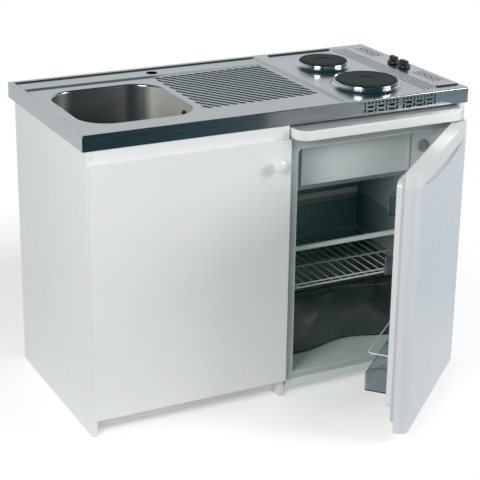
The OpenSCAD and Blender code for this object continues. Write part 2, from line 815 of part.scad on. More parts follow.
// ---- refrigerator ------------------------------------------------------------------------

// room inside the refrigerator, inset by t, with the step over the compressor
module cold_room(t) {
    difference() {
        upright(ox0 + t, ox1 - t, fy0 - 5, liner_y1 - t, opening_bottom + t, opening_top - t,
                16 - t);
        block([ox0 - 1, hump_y - t, opening_bottom - 1], [ox1 + 1, fy1, hump_h + t]);
    }
}

module fridge_cabinet() {
    color("white") difference() {
        block([fx0, fy0, fz0], [fx1, fy1, fridge_top]);
        cold_room(0);
        block([fx0 + 30, fy1 - hump_d - rear_wall + 34, fz0 - 1], [fx1 - 30, fy1 + 1, hump_h - 26]);
    }
}

module fridge_liner() {
    color("honeydew") {
        difference() {
            intersection() {
                cold_room(0);
                block([ox0, fy0, 0], [ox1, fy1, fridge_top]);
            }
            cold_room(liner_t);
        }
        for (z = [shelf_z - 6, wire_shelf_z - 8, crisper_z1 + 3], s = [0, 1])
            block([s ? ox1 - liner_t - 9 : ox0 + liner_t - eps, shelf_y + 12, z - 5],
                  [s ? ox1 - liner_t + eps : ox0 + liner_t + 9, shelf_y1 - 30, z]);
    }
}

module fridge_cover() {
    y0 = fy0 - cover_reach;
    color("white") translate([0, 0, fridge_top]) linear_extrude(cover_h) union() {
        translate([fcx, (y0 + 60 + fy1)/2]) square([fridge_w, fy1 - y0 - 60], center=true);
        translate([fcx, y0 + 60]) rounded(fridge_w, 120, 38);
    }
}

// plastic base frame with a kick strip and the compressor's cross plate
module fridge_frame() {
    color("gray") {
        block([fx0, fy0 + 1, fridge_base], [fx1, fy0 + 40, fz0]);
        for (x = [fx0, fx1 - 45]) block([x, fy0 + 39, fridge_base], [x + 45, fy1, fz0]);
        block([fx0 + 44, fy1 - 120, fridge_base], [fx1 - 44, fy1 - 6, fridge_base + 4]);
    }
}

module fridge_feet() {
    color("dimgray") for (x = [fx0 + 30, fx1 - 30], y = [fy0 + 90, fy1 - 30])
        translate([x, y, 0]) {
            cylinder(h=8, r1=15, r2=17);
            cylinder(h=fridge_base, r=8);
        }
}

module compressor() {
    z = fridge_base + 4;
    color([0.12, 0.12, 0.13]) translate([fcx, fy1 - 64, z]) {
        rotate_extrude() polygon([[0, 10], [46, 10], [50, 22], [50, 84], [54, 86], [54, 92],
                                  [50, 94], [49, 116], [40, 132], [22, 142], [0, 145]]);
        for (a = [45:90:315]) rotate([0, 0, a]) translate([44, 0, 0]) cylinder(h=14, r=9);
        translate([-78, -20, 40]) cube([34, 40, 50]);
    }
}

// wire-and-tube condenser behind the refrigerator
module condenser() {
    y = fy1 + 8;
    pitch = 50;
    x0 = fx0 + 60;
    x1 = fx1 - 60;
    z0 = hump_h + 60;
    rows = floor((fridge_top - z0 - 40)/pitch) + 1;
    color([0.12, 0.12, 0.13]) {
        for (i = [0:rows - 1]) bar([x0, y, z0 + i*pitch], [x1, y, z0 + i*pitch], 2.5);
        for (i = [0:rows - 2]) translate([i % 2 ? x0 : x1, y, z0 + (i + 0.5)*pitch])
            rotate([90, 0, 0]) rotate([0, 0, i % 2 ? 90 : -90])
                rotate_extrude(angle=180) translate([pitch/2, 0]) circle(2.5, $fn=24);
        for (i = [0:11]) bar([x0 + 12 + i*(x1 - x0 - 24)/11, y + 3, z0 - 20],
                             [x0 + 12 + i*(x1 - x0 - 24)/11, y + 3, z0 + (rows - 1)*pitch + 20], 1.2);
        for (x = [x0 + 30, x1 - 30], i = [0, rows - 1])
            bar([x, fy1, z0 + i*pitch], [x, y + 1, z0 + i*pitch], 4);
    }
}

module hinge_bottom() {
    color("silver") {
        block([fx1 - 42, pin_cy - 12, fridge_base - 4], [fx1 - 1, fy0 + 38, fridge_base]);
        translate([pin_cx, pin_cy, fridge_base - 4]) cylinder(h=22, r=pin_r);
    }
}

module hinge_top() {
    color("silver") {
        block([fx1 - 42, pin_cy - 12, fridge_top - 3], [fx1 - 1, fy0, fridge_top]);
        translate([pin_cx, pin_cy, fdoor_top - 20]) cylinder(h=fridge_top - fdoor_top + 18, r=pin_r);
    }
}

module freezer_box() {
    t = 3;
    y0 = flap_y + flap_t + 1.5;
    y1 = liner_y1 - liner_t - freezer_rear;
    color("lightgray") difference() {
        block([freezer_x0, y0, freezer_z], [freezer_x1, y1, freezer_z1]);
        block([freezer_x0 + t, y0 - 1, freezer_z + t], [freezer_x1 - t, y1 - t, freezer_z1 - t]);
    }
    color("whitesmoke") intersection() {
        union() {
            block([ox0, y0 - 1.2, freezer_z - 14], [freezer_x1, y0 + 5, freezer_z]);
            block([ox0, y0 - 1.2, freezer_z - 14], [freezer_x0, y0 + 5, freezer_z1]);
        }
        cold_room(liner_t);
    }
}

// moulded flap with a pressed panel and a finger lip; its pivot line is at its foot
module freezer_flap() {
    x0 = freezer_x0 + 1;
    x1 = freezer_x1 - 1;
    z0 = freezer_z + 1;
    z1 = freezer_z1 - 3;
    color("whitesmoke") {
        difference() {
            block([x0, flap_y, z0], [x1, flap_y + flap_t, z1]);
            block([x0 + 22, flap_y - 1, z0 + 18], [x1 - 8, flap_y + 2, z1 - 8]);
        }
        block([x1 - 60, flap_y - 5, z1 - 12], [x1 - 14, flap_y + 1, z1 - 8]);
    }
}

// housing beside the freezer box, with the lamp's ribbed lens below it
module control_housing() {
    x0 = freezer_x1 + 4;
    x1 = ox1 - liner_t;
    y0 = flap_y + 4;
    z0 = freezer_z - 8;
    color("whitesmoke") difference() {
        union() {
            intersection() {
                block([x0, y0, z0], [ox1, y0 + housing_d, freezer_z1]);
                cold_room(liner_t);
            }
            translate([(x0 + x1)/2, y0 + 60, z0]) for (i = [0:5])
                translate([0, i*13, -12]) linear_extrude(13) square([x1 - x0 - 18, 9], center=true);
        }
        translate([(x0 + x1)/2, y0 - 1, freezer_z + dial_rise]) rotate([-90, 0, 0])
            cylinder(h=25, r=4 + run);
    }
}

module thermostat_dial() {
    x = (freezer_x1 + 4 + ox1 - liner_t)/2;
    color("gainsboro") translate([x, flap_y + 3, freezer_z + dial_rise]) rotate([90, 0, 0]) {
        cylinder(h=10, r1=19, r2=17);
        translate([0, 0, 9.5]) intersection() {
            cylinder(h=6, r=17);
            block([-3, -18, 0], [3, 18, 6]);
        }
        translate([0, 0, -20]) cylinder(h=20.5, r=4);
    }
}

module glass_shelf() {
    x0 = ox0 + liner_t + 1;
    x1 = ox1 - liner_t - 1;
    color([0.75, 0.88, 0.85, 0.5])
        block([x0 + 2, shelf_y + 9, shelf_z - 5], [x1 - 2, shelf_y1 - 2, shelf_z - 1]);
    color("white") {
        block([x0, shelf_y, shelf_z - 7], [x1, shelf_y + 9, shelf_z + 6]);
        block([x0 + 2, shelf_y1 - 3, shelf_z - 6], [x1 - 2, shelf_y1 - 1, shelf_z + 16]);
    }
}

// quarter bend of a round rod about an upright line
module rod_bend(centre, turn, bend, r) {
    translate(centre) rotate([0, 0, turn]) rotate_extrude(angle=90)
        translate([bend, 0]) circle(r, $fn=24);
}

// round rod bent to a closed rectangle
module rod_loop(x0, x1, y0, y1, z, bend, r) {
    for (y = [y0, y1]) bar([x0 + bend, y, z], [x1 - bend, y, z], r);
    for (x = [x0, x1]) bar([x, y0 + bend, z], [x, y1 - bend, z], r);
    rod_bend([x0 + bend, y0 + bend, z], 180, bend, r);
    rod_bend([x1 - bend, y0 + bend, z], 270, bend, r);
    rod_bend([x1 - bend, y1 - bend, z], 0, bend, r);
    rod_bend([x0 + bend, y1 - bend, z], 90, bend, r);
}

// wire shelf: a bent frame, cross wires laid over it, and a raised wire along the front
module wire_shelf() {
    x0 = ox0 + liner_t + 4;
    x1 = ox1 - liner_t - 4;
    y0 = shelf_y + 3;
    y1 = shelf_y1 - 4;
    z = wire_shelf_z - 5;
    wires = 16;
    step = (x1 - x0 - 30)/wires;
    color("white") {
        rod_loop(x0, x1, y0, y1, z, 10, 2.5);
        bar([x0, shelf_y + 150, z], [x1, shelf_y + 150, z], 2);
        for (i = [0:wires]) bar([x0 + 15 + i*step, y0 - 1, z + 3.2],
                                [x0 + 15 + i*step, y1 + 1, z + 3.2], 1.5);
        bar([x0 + 12, y0, z + 11], [x1 - 12, y0, z + 11], 2);
        for (x = [x0 + 20, x1 - 20]) bar([x, y0, z], [x, y0, z + 11], 1.6);
    }
}

module crisper_cover() {
    z = crisper_z1 + 3;
    color([0.75, 0.88, 0.85, 0.5])
        block([ox0 + liner_t + 1, shelf_y + 40, z], [ox1 - liner_t - 1, hump_y + 60, z + 4]);
}

// crisper plan inset by t: straight sides, and a front that sweeps back to a grip recess
module crisper_plan(t) {
    middle = (crisper_x0 + crisper_x1)/2;
    sweep = (crisper_x1 - crisper_x0)/2 - 60;
    steps = 32;
    front = [for (i = [-steps:steps])
        [middle + i*sweep/steps, crisper_y0 + t + crisper_recess*(1 + cos(180*i/steps))/2]];
    polygon(concat([[crisper_x0 + t, crisper_y1 - t], [crisper_x0 + t, crisper_y0 + 12],
                    [crisper_x0 + 12, crisper_y0 + t]],
                   front, [[crisper_x1 - 12, crisper_y0 + t], [crisper_x1 - t, crisper_y0 + 12],
                           [crisper_x1 - t, crisper_y1 - t]]));
}

module crisper() {
    t = 2.5;
    color([0.8, 0.9, 0.88, 0.45]) difference() {
        union() {
            translate([0, 0, crisper_z0]) linear_extrude(crisper_h) crisper_plan(0);
            translate([0, 0, crisper_z1 - 5]) linear_extrude(5) crisper_plan(-4);
        }
        translate([0, 0, crisper_z0 + t]) linear_extrude(crisper_h) crisper_plan(t);
    }
}

// ---- refrigerator door -------------------------------------------------------------------

// plan of the door: soft front edges and a swelling front
module fdoor_plan() {
    r = (pow(fridge_w/2, 2) + pow(fdoor_bulge, 2))/(2*fdoor_bulge);
    edge_r = 24;
    y0 = fdoor_y0 - fdoor_bulge;
    intersection() {
        union() {
            translate([fcx, fdoor_y0 + 2*edge_r - 10]) rounded(fridge_w, 4*edge_r - 20, edge_r);
            translate([fx0, fdoor_y1 - 8]) square([fridge_w, 8]);
        }
        translate([fx0, y0]) square([fridge_w, fdoor_y1 - y0]);
        translate([fcx, y0 + r]) circle(r, $fn=360);
    }
}

module fridge_door() {
    chord = grip_w/2;
    r = (chord*chord + grip_drop*grip_drop)/(2*grip_drop);
    color("ghostwhite") ajar_door() difference() {
        translate([0, 0, fdoor_bottom]) linear_extrude(grip_z - fdoor_bottom) fdoor_plan();
        intersection() {
            translate([fcx, fdoor_y1 - 20, grip_z - grip_drop + r]) rotate([90, 0, 0])
                cylinder(h=60, r=r, $fn=180);
            block([fx0, fdoor_y0 - 30, grip_z - grip_drop - 1], [fx1, fdoor_y1 - 22, grip_z + 1]);
        }
        translate([pin_cx, pin_cy, fdoor_bottom - 1]) cylinder(h=26, r=pin_r + run);
    }
}

module door_grip_cap() {
    color("gainsboro") ajar_door() difference() {
        translate([0, 0, grip_z]) linear_extrude(fdoor_top - grip_z) fdoor_plan();
        block([fcx - grip_w/2 + 20, fdoor_y1 - 34, grip_z - 1],
              [fcx + grip_w/2 - 20, fdoor_y1 - 24, grip_z + 10]);
        translate([pin_cx, pin_cy, fdoor_top - 26]) cylinder(h=30, r=pin_r + run);
    }
}

module door_liner() {
    y0 = fdoor_y1;
    color("white") ajar_door() {
        upright(fx0 + 6, fx1 - 20, y0, y0 + 2, opening_bottom - 12, opening_top + 18, 10);
        difference() {
            upright(dike_x0, dike_x1, y0 + 2 - eps, y0 + 2 + dike_h, dike_z0, dike_z1, 20);
            upright(dike_x0 + dike_w, dike_x1 - dike_w, y0 + 1, y0 + 3 + dike_h,
                    dike_z0 + dike_w, dike_z1 - dike_w, 12);
        }
    }
}

module door_gasket() {
    y0 = fdoor_y1 + 2;
    y1 = fy0 - 0.8;
    w = 13;
    color("lightgray") ajar_door() difference() {
        upright(fx0 + 7, fx1 - 21, y0, y1, opening_bottom - 11, opening_top + 17, 9);
        upright(fx0 + 7 + w, fx1 - 21 - w, y0 - 1, y1 + 1, opening_bottom - 11 + w,
                opening_top + 17 - w, 5);
    }
}

// clear rack between the dike's sides: an open tray whose sides sweep down to a lower front
module rack(z, d, h, front_h) {
    t = 2.5;
    x0 = dike_x0 + dike_w + fit;
    x1 = dike_x1 - dike_w - fit;
    y0 = fdoor_y1 + 2;
    color([0.85, 0.92, 0.92, 0.4]) ajar_door() translate([(x0 + x1)/2, y0, z]) difference() {
        union() {
            translate([0, d/2, 0]) linear_extrude(h) rounded(x1 - x0, d, 8);
            translate([0, 4, 0]) linear_extrude(h) square([x1 - x0, 8], center=true);
        }
        translate([0, d/2, t]) linear_extrude(h) rounded(x1 - x0 - 2*t, d - 2*t, 6);
        translate([0, 0, front_h]) rotate([90, 0, 90]) linear_extrude(x1 - x0 + 2, center=true)
            difference() {
                translate([t, 0]) square([d, h]);
                translate([t, 0]) scale([1, (h - front_h)/(d - t)]) circle(d - t);
            }
    }
}
module rack_top() { rack(rack_top_z, rack_d, rack_top_h, rack_top_h - 14); }
module rack_middle() { rack(rack_mid_z, rack_d, rack_mid_h, rack_mid_h - 14); }
module rack_bottom() { rack(rack_low_z, rack_low_d, rack_low_h, rack_low_front); }

// bent wire that keeps bottles in the bottom rack
module bottle_wire() {
    r = 1.8;
    bend = 14;
    x0 = dike_x0 + dike_w + r + fit;
    x1 = dike_x1 - dike_w - r - fit;
    y0 = fdoor_y1 + 2;
    y1 = fdoor_y1 + rack_low_d - 4;
    color("white") ajar_door() translate([0, 0, rack_low_z + wire_rise]) {
        for (x = [x0, x1]) bar([x, y0, 0], [x, y1 - bend, 0], r);
        bar([x0 + bend, y1, 0], [x1 - bend, y1, 0], r);
        rod_bend([x0 + bend, y1 - bend, 0], 90, bend, r);
        rod_bend([x1 - bend, y1 - bend, 0], 0, bend, r);
    }
}

left_panel();
middle_panel();
right_panel();
base_board();
back_panel();
front_rail();
rear_rail();
bay_rail();
plinth();
cover_caps();
cabinet_door();
door_knob();
hinge_cups();
hinge_arms();
worktop();
sink_bowl();
basket_waste();
bottle_trap();
overflow_rosette();
overflow_pipe();
sink_plug();
plug_chain();
hotplate_front();
hotplate_rear();
rim_front();
rim_rear_plate();
clamp_bridges();
heat_shield();
switch_bodies();
spindle_rear();
spindle_front();
knob_rear();
knob_front();
terminal_box();
fridge_cabinet();
fridge_liner();
fridge_cover();
fridge_frame();
fridge_feet();
compressor();
condenser();
hinge_bottom();
hinge_top();
freezer_box();
freezer_flap();
control_housing();
thermostat_dial();
glass_shelf();
wire_shelf();
crisper_cover();
crisper();
fridge_door();
door_grip_cap();
door_liner();
door_gasket();
rack_top();
rack_middle();
rack_bottom();
bottle_wire();
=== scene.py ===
"""Looks of the kitchenette unit: steel worktop with sink and hob, cabinet and refrigerator."""
import json
import math

import bmesh
import bpy
from mathutils import Matrix, Vector
from mathutils.geometry import delaunay_2d_cdt


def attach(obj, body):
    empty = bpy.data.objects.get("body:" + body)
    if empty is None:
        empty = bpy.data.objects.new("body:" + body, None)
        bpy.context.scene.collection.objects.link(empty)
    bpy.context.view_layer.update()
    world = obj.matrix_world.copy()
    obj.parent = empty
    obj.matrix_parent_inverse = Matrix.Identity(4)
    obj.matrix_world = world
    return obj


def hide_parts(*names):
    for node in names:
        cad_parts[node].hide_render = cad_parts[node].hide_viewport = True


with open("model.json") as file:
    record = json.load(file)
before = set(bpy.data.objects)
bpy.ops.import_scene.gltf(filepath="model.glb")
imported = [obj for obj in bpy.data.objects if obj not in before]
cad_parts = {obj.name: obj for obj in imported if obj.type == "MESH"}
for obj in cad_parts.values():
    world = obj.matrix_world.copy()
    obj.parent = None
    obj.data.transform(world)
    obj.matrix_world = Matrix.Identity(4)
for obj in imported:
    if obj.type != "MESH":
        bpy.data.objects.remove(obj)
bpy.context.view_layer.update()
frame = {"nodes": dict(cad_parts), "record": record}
NODES = frame["nodes"]


# ---- camera ------------------------------------------------------------------------------------

CAMERA_PLACE = (-1.859, -3.6529, 1.9484)
CAMERA_TURN, CAMERA_TILT, CAMERA_ROLL = -27.1, 19.72, 0.79      # degrees
CAMERA_LENS, CAMERA_WIDTH, CAMERA_SHIFT = 109.02, 36.0, -0.06   # mm, mm, share of the width


def set_camera():
    """Photographer's stand: from the front left, looking down a little."""
    turn, tilt, roll = (math.radians(a) for a in (CAMERA_TURN, CAMERA_TILT, CAMERA_ROLL))
    back = Vector((math.sin(turn) * math.cos(tilt), -math.cos(turn) * math.cos(tilt),
                   math.sin(tilt)))
    right = (-back).cross(Vector((0, 0, 1))).normalized()
    up = right.cross(-back)
    level = right * math.cos(roll) + up * math.sin(roll)
    upright = up * math.cos(roll) - right * math.sin(roll)
    data = bpy.data.cameras.new("stand_camera")
    data.sensor_width = CAMERA_WIDTH
    data.lens = CAMERA_LENS
    data.shift_y = CAMERA_SHIFT
    cam = bpy.data.objects.new("stand_camera", data)
    bpy.context.collection.objects.link(cam)
    m = Matrix((level, upright, back)).transposed().to_4x4()
    m.translation = Vector(CAMERA_PLACE)
    cam.matrix_world = m
    bpy.context.scene.camera = cam


set_camera()


# ---- shader groups -----------------------------------------------------------------------------

def add_node(tree, kind, **values):
    """New node; each value goes to the input of that name, or to the node's own setting."""
    n = tree.nodes.new(kind)
    for label, value in values.items():
        if label in n.inputs:
            n.inputs[label].default_value = value
        else:
            setattr(n, label, value)
    return n


def new_group(name, inputs, outputs):
    """Empty shader group with named sockets; an input is (name, kind, start value)."""
    g = bpy.data.node_groups.new(name, "ShaderNodeTree")
    for label, kind, value in inputs:
        s = g.interface.new_socket(label, in_out="INPUT", socket_type="NodeSocket" + kind)
        if value is not None:
            s.default_value = value
    for label in outputs:
        g.interface.new_socket(label, in_out="OUTPUT", socket_type="NodeSocketFloat")
    return g, g.nodes.new("NodeGroupInput"), g.nodes.new("NodeGroupOutput")


def sheet_grain_group():
    """Fine parallel scratches of rolled and brushed steel, and large soft clouds."""
    g, a, b = new_group("sheet_grain",
                        [("Vector", "Vector", None), ("Stretch", "Vector", (6, 260, 260)),
                         ("Cloud", "Float", 3.0)],
                        ["Scratches", "Clouds"])
    along = add_node(g, "ShaderNodeVectorMath", operation="MULTIPLY")
    fine = add_node(g, "ShaderNodeTexNoise", Scale=1.0, Detail=4.0)
    cloud = add_node(g, "ShaderNodeTexNoise", Detail=2.0)
    g.links.new(a.outputs["Vector"], along.inputs[0])
    g.links.new(a.outputs["Stretch"], along.inputs[1])
    g.links.new(along.outputs[0], fine.inputs["Vector"])
    g.links.new(a.outputs["Vector"], cloud.inputs["Vector"])
    g.links.new(a.outputs["Cloud"], cloud.inputs["Scale"])
    g.links.new(fine.outputs["Fac"], b.inputs["Scratches"])
    g.links.new(cloud.outputs["Fac"], b.inputs["Clouds"])
    return g


def moulded_group():
    """Light unevenness of moulded, sprayed or laminated surfaces."""
    g, a, b = new_group("moulded_skin",
                        [("Vector", "Vector", None), ("Peel Scale", "Float", 350.0),
                         ("Cloud Scale", "Float", 3.0)],
                        ["Peel", "Clouds"])
    for out, scale, detail in (("Peel", "Peel Scale", 2.0), ("Clouds", "Cloud Scale", 3.0)):
        noise = add_node(g, "ShaderNodeTexNoise", Detail=detail)
        g.links.new(a.outputs["Vector"], noise.inputs["Vector"])
        g.links.new(a.outputs[scale], noise.inputs["Scale"])
        g.links.new(noise.outputs["Fac"], b.inputs[out])
    return g


def turned_group():
    """Rings left by the lathe round a centre, and the distance from that centre in metres."""
    g, a, b = new_group("turned_rings", [("Vector", "Vector", None), ("Pitch", "Float", 0.0016)],
                        ["Rings", "Radius"])
    sep = add_node(g, "ShaderNodeSeparateXYZ")
    flat = add_node(g, "ShaderNodeCombineXYZ")
    far = add_node(g, "ShaderNodeVectorMath", operation="LENGTH")
    turns = add_node(g, "ShaderNodeMath", operation="DIVIDE")
    wave = add_node(g, "ShaderNodeMath", operation="PINGPONG")
    wave.inputs[1].default_value = 0.5
    g.links.new(a.outputs["Vector"], sep.inputs[0])
    g.links.new(sep.outputs["X"], flat.inputs["X"])
    g.links.new(sep.outputs["Y"], flat.inputs["Y"])
    g.links.new(flat.outputs[0], far.inputs[0])
    g.links.new(far.outputs["Value"], turns.inputs[0])
    g.links.new(a.outputs["Pitch"], turns.inputs[1])
    g.links.new(turns.outputs[0], wave.inputs[0])
    g.links.new(wave.outputs[0], b.inputs["Rings"])
    g.links.new(far.outputs["Value"], b.inputs["Radius"])
    return g


GRAIN, SKIN, RINGS = sheet_grain_group(), moulded_group(), turned_group()


# ---- finishes ----------------------------------------------------------------------------------

MIX_A, MIX_B, MIX_RESULT = 6, 7, 2       # colour sockets of the Mix node
COAT_ROUGH = 0.12


class Finish:
    """A Principled material under construction."""

    def __init__(self, name, colour, rough, metal=0.0):
        self.mat = bpy.data.materials.new(name)
        self.mat.use_nodes = True
        self.nt = self.mat.node_tree
        self.p = self.nt.nodes["Principled BSDF"]
        self.p.inputs["Base Color"].default_value = (*colour, 1)
        self.p.inputs["Roughness"].default_value = rough
        self.p.inputs["Metallic"].default_value = metal
        self.mat.diffuse_color = (*colour, 1)

    def node(self, kind, **values):
        return add_node(self.nt, kind, **values)

    def link(self, a, b):
        self.nt.links.new(a, b)

    def place(self, at=(0, 0, 0)):
        """Object coordinates, centred on a point."""
        tc = self.node("ShaderNodeTexCoord")
        mp = self.node("ShaderNodeMapping", vector_type="TEXTURE", Location=at)
        self.link(tc.outputs["Object"], mp.inputs["Vector"])
        return mp.outputs[0]

    def along(self, axis):
        """Object coordinates as they are, and their part along one axis."""
        at = self.place()
        sep = self.node("ShaderNodeSeparateXYZ")
        self.link(at, sep.inputs[0])
        return at, sep.outputs[axis]

    def effect(self, group, vector, **values):
        n = self.node("ShaderNodeGroup")
        n.node_tree = group
        self.link(vector, n.inputs["Vector"])
        for k, v in values.items():
            n.inputs[k.replace("_", " ")].default_value = v
        return n.outputs

    def ramp(self, source, low, high, start=0.0, end=1.0):
        """Value from low to high as source goes from start to end."""
        n = self.node("ShaderNodeMapRange", **{"From Min": start, "From Max": end,
                                               "To Min": low, "To Max": high})
        self.link(source, n.inputs["Value"])
        return n.outputs["Result"]

    def tint(self, source, low, high, start=0.3, end=0.7, socket="Base Color"):
        """Colour from low to high as source goes from start to end."""
        n = self.node("ShaderNodeMix", data_type="RGBA")
        n.inputs[MIX_A].default_value = (*low, 1)
        n.inputs[MIX_B].default_value = (*high, 1)
        self.link(self.ramp(source, 0, 1, start, end), n.inputs[0])
        self.link(n.outputs[MIX_RESULT], self.p.inputs[socket])

    def roughness(self, source, low, high, start=0.3, end=0.7):
        self.link(self.ramp(source, low, high, start, end), self.p.inputs["Roughness"])

    def bump(self, source, depth, strength=1.0):
        n = self.node("ShaderNodeBump", Strength=strength, Distance=depth)
        self.link(source, n.inputs["Height"])
        self.link(n.outputs[0], self.p.inputs["Normal"])


def shade(c, k):
    return tuple(min(v * k, 1.0) for v in c)


def steel(name, colour, rough, stretch, depth=0.00002):
    """Metal with clouds in its tone and scratches along its short stretch."""
    f = Finish(name, colour, rough, 1.0)
    s = f.effect(GRAIN, f.place(), Stretch=stretch)
    f.tint(s["Clouds"], shade(colour, 0.96), shade(colour, 1.04))
    f.roughness(s["Scratches"], rough - 0.05, rough + 0.06)
    f.bump(s["Scratches"], depth, 0.5)
    return f.mat


def skin(name, colour, rough, peel=350.0, depth=0.00003, coat=0.0, spread=0.02):
    """Moulded, enamelled or laminated skin of one colour."""
    f = Finish(name, colour, rough)
    s = f.effect(SKIN, f.place(), Peel_Scale=peel)
    f.tint(s["Clouds"], shade(colour, 1 - spread), shade(colour, 1 + spread))
    f.roughness(s["Clouds"], rough - 0.03, rough + 0.04)
    f.bump(s["Peel"], depth, 0.5)
    f.p.inputs["Coat Weight"].default_value = coat
    f.p.inputs["Coat Roughness"].default_value = COAT_ROUGH
    return f.mat


def clear(name, colour, rough, ior=1.49):
    """See-through plastic or glass, with slight wipe marks in its gloss."""
    f = Finish(name, colour, rough)
    f.p.inputs["Transmission Weight"].default_value = 1.0
    f.p.inputs["IOR"].default_value = ior
    s = f.effect(SKIN, f.place(), Peel_Scale=60.0)
    f.roughness(s["Clouds"], rough, rough + 0.05)
    return f.mat


def drawn_steel_painted_light(name, colour, painted_light_colour):
    """Drawn bowl: darker cloudy steel, with painted light: a paler, less metallic wall where light
    falls in from the left.
    """
    foot, wall = -0.240, -0.222          # metres across, between which the wall turns to the paler painted light
    f = Finish(name, colour, 0.33, 1.0)
    at, across = f.along("X")
    f.tint(across, colour, painted_light_colour, foot, wall)
    f.link(f.ramp(across, 1.0, 0.55, foot, wall), f.p.inputs["Metallic"])
    s = f.effect(GRAIN, at, Stretch=(500, 500, 500))
    f.roughness(s["Clouds"], 0.28, 0.38)
    f.bump(s["Scratches"], 0.000002, 0.5)
    return f.mat


def painted_shade_and_glow(name, axis, low, high, start, end, rough=0.3, coat=0.2, painted_glow=0.0):
    """Moulded skin whose colour goes from low to high along one axis, as painted shade; its low end
    may glow, as painted light.
    """
    f = Finish(name, low, rough)
    at, way = f.along(axis)
    f.tint(way, low, high, start, end)
    if painted_glow:
        # painted light: a glow at the low end
        f.tint(way, (0.93, 0.97, 1.0), (0, 0, 0), start, end, "Emission Color")
        f.p.inputs["Emission Strength"].default_value = painted_glow
    s = f.effect(SKIN, at, Peel_Scale=400.0)
    f.roughness(s["Clouds"], rough - 0.03, rough + 0.04)
    f.bump(s["Peel"], 0.00003, 0.5)
    f.p.inputs["Coat Weight"].default_value = coat
    f.p.inputs["Coat Roughness"].default_value = COAT_ROUGH
    return f.mat


def cast_iron(name, at):
    """Dark coated iron with turning marks, and the worn red spot in its middle."""
    dark, red = (0.016, 0.028, 0.026), (0.10, 0.014, 0.018)
    f = Finish(name, dark, 0.55)
    f.p.inputs["Specular IOR Level"].default_value = 0.22
    s = f.effect(RINGS, f.place(at=at), Pitch=0.0022)
    f.tint(s["Radius"], red, dark, 0.0125, 0.0150)
    f.roughness(s["Rings"], 0.48, 0.62, 0.0, 0.5)
    f.bump(s["Rings"], 0.00006, 0.4)
    return f.mat


FIN = {
    "board": skin("white_melamine", (0.86, 0.87, 0.87), 0.42, 900, 0.00002),
    "plastic": skin("white_plastic", (0.86, 0.875, 0.875), 0.32, 420, 0.00003, 0.2),
    "steel": steel("satin_steel", (0.56, 0.575, 0.58), 0.21, (8, 900, 900), 0.0000015),
    # painted light: the bowl's right wall turns paler and less metallic
    "bowl": drawn_steel_painted_light("drawn_steel_painted_light", (0.33, 0.345, 0.34), (0.97, 0.97, 0.91)),
    # near-black painted shade for the worktop sheet's underside and cut edges
    "painted_shade_sheet": skin("sheet_painted_shade", (0.02, 0.022, 0.024), 0.7),
    "zinc": steel("zinc_plated", (0.60, 0.61, 0.62), 0.38, (40, 40, 40)),
    "bright": steel("polished_steel", (0.74, 0.75, 0.76), 0.15, (30, 30, 200), 0.000003),
    "iron_front": cast_iron("cast_iron_front", (0.335, -0.160, 0)),
    "iron_rear": cast_iron("cast_iron_rear", (0.335, 0.092, 0)),
    "black_plastic": skin("black_plastic", (0.022, 0.025, 0.03), 0.38, 700, 0.00003),
    "ivory": skin("heatproof_ivory", (0.78, 0.75, 0.66), 0.5),
    "enamel": skin("white_enamel", (0.80, 0.815, 0.85), 0.3, 500, 0.00002, 0.35),
    # painted shade: the liner darkens to deep teal toward the back of the fridge
    "liner": painted_shade_and_glow("formed_liner_painted_shade", "Y", (0.74, 0.83, 0.82), (0.13, 0.29, 0.30), -0.10, 0.19),
    "tub": skin("base_tub", (0.76, 0.84, 0.83), 0.3, 300, 0.00003, 0.2),
    # painted shade: the fridge cabinet's white enamel is given a mid-grey tone
    "case": skin("case_enamel_painted_shade", (0.46, 0.495, 0.495), 0.3, 500, 0.00002, 0.35),
    # painted shadow: the fridge cover's top, under the worktop's band, turns dark grey
    "cover": painted_shade_and_glow("cover_plastic_painted_shadow", "Z", (0.87, 0.885, 0.885), (0.40, 0.43, 0.44), 0.8172, 0.8179),
    # painted shade: the freezer flap darkens toward its left end
    "flap": painted_shade_and_glow("flap_plastic_painted_shade", "X", (0.56, 0.66, 0.67), (0.80, 0.86, 0.86), 0.09, 0.20),
    # painted light: the control housing's lower part glows
    "housing": painted_shade_and_glow("housing_plastic_painted_glow", "Z", (0.90, 0.94, 0.97), (0.93, 0.95, 0.96),
                      0.6061, 0.6066, painted_glow=0.45),
    "grey_plastic": skin("grey_plastic", (0.36, 0.38, 0.39), 0.45),
    "black_enamel": skin("black_enamel", (0.02, 0.02, 0.022), 0.35, 500, 0.00003, 0.3),
    "aluminium": steel("bare_aluminium", (0.72, 0.74, 0.75), 0.4, (8, 120, 120)),
    "glass": clear("shelf_glass", (0.90, 0.97, 0.94), 0.03, 1.5),
    "trim": skin("shelf_trim", (0.80, 0.90, 0.86), 0.3),
    "wire": skin("coated_wire", (0.86, 0.88, 0.87), 0.3),
    "smoke": clear("smoked_clear", (0.66, 0.70, 0.72), 0.06),
    "tray": clear("clear_tray", (0.86, 0.93, 0.91), 0.05),
    "gasket": skin("grey_gasket", (0.60, 0.63, 0.64), 0.6),
    "rubber": skin("black_rubber", (0.03, 0.03, 0.033), 0.6),
}


# ---- dressing of the CAD solids ----------------------------------------------------------------

def tidy_mesh(me, angle=0.3):
    """Merges the loose triangles of a CAD solid and joins those that are level."""
    bm = bmesh.new()
    bm.from_mesh(me)
    bmesh.ops.remove_doubles(bm, verts=bm.verts, dist=3e-6)
    bmesh.ops.dissolve_limit(bm, angle_limit=math.radians(angle), verts=bm.verts,
                             edges=bm.edges)
    bmesh.ops.recalc_face_normals(bm, faces=bm.faces)
    bm.to_mesh(me)
    bm.free()


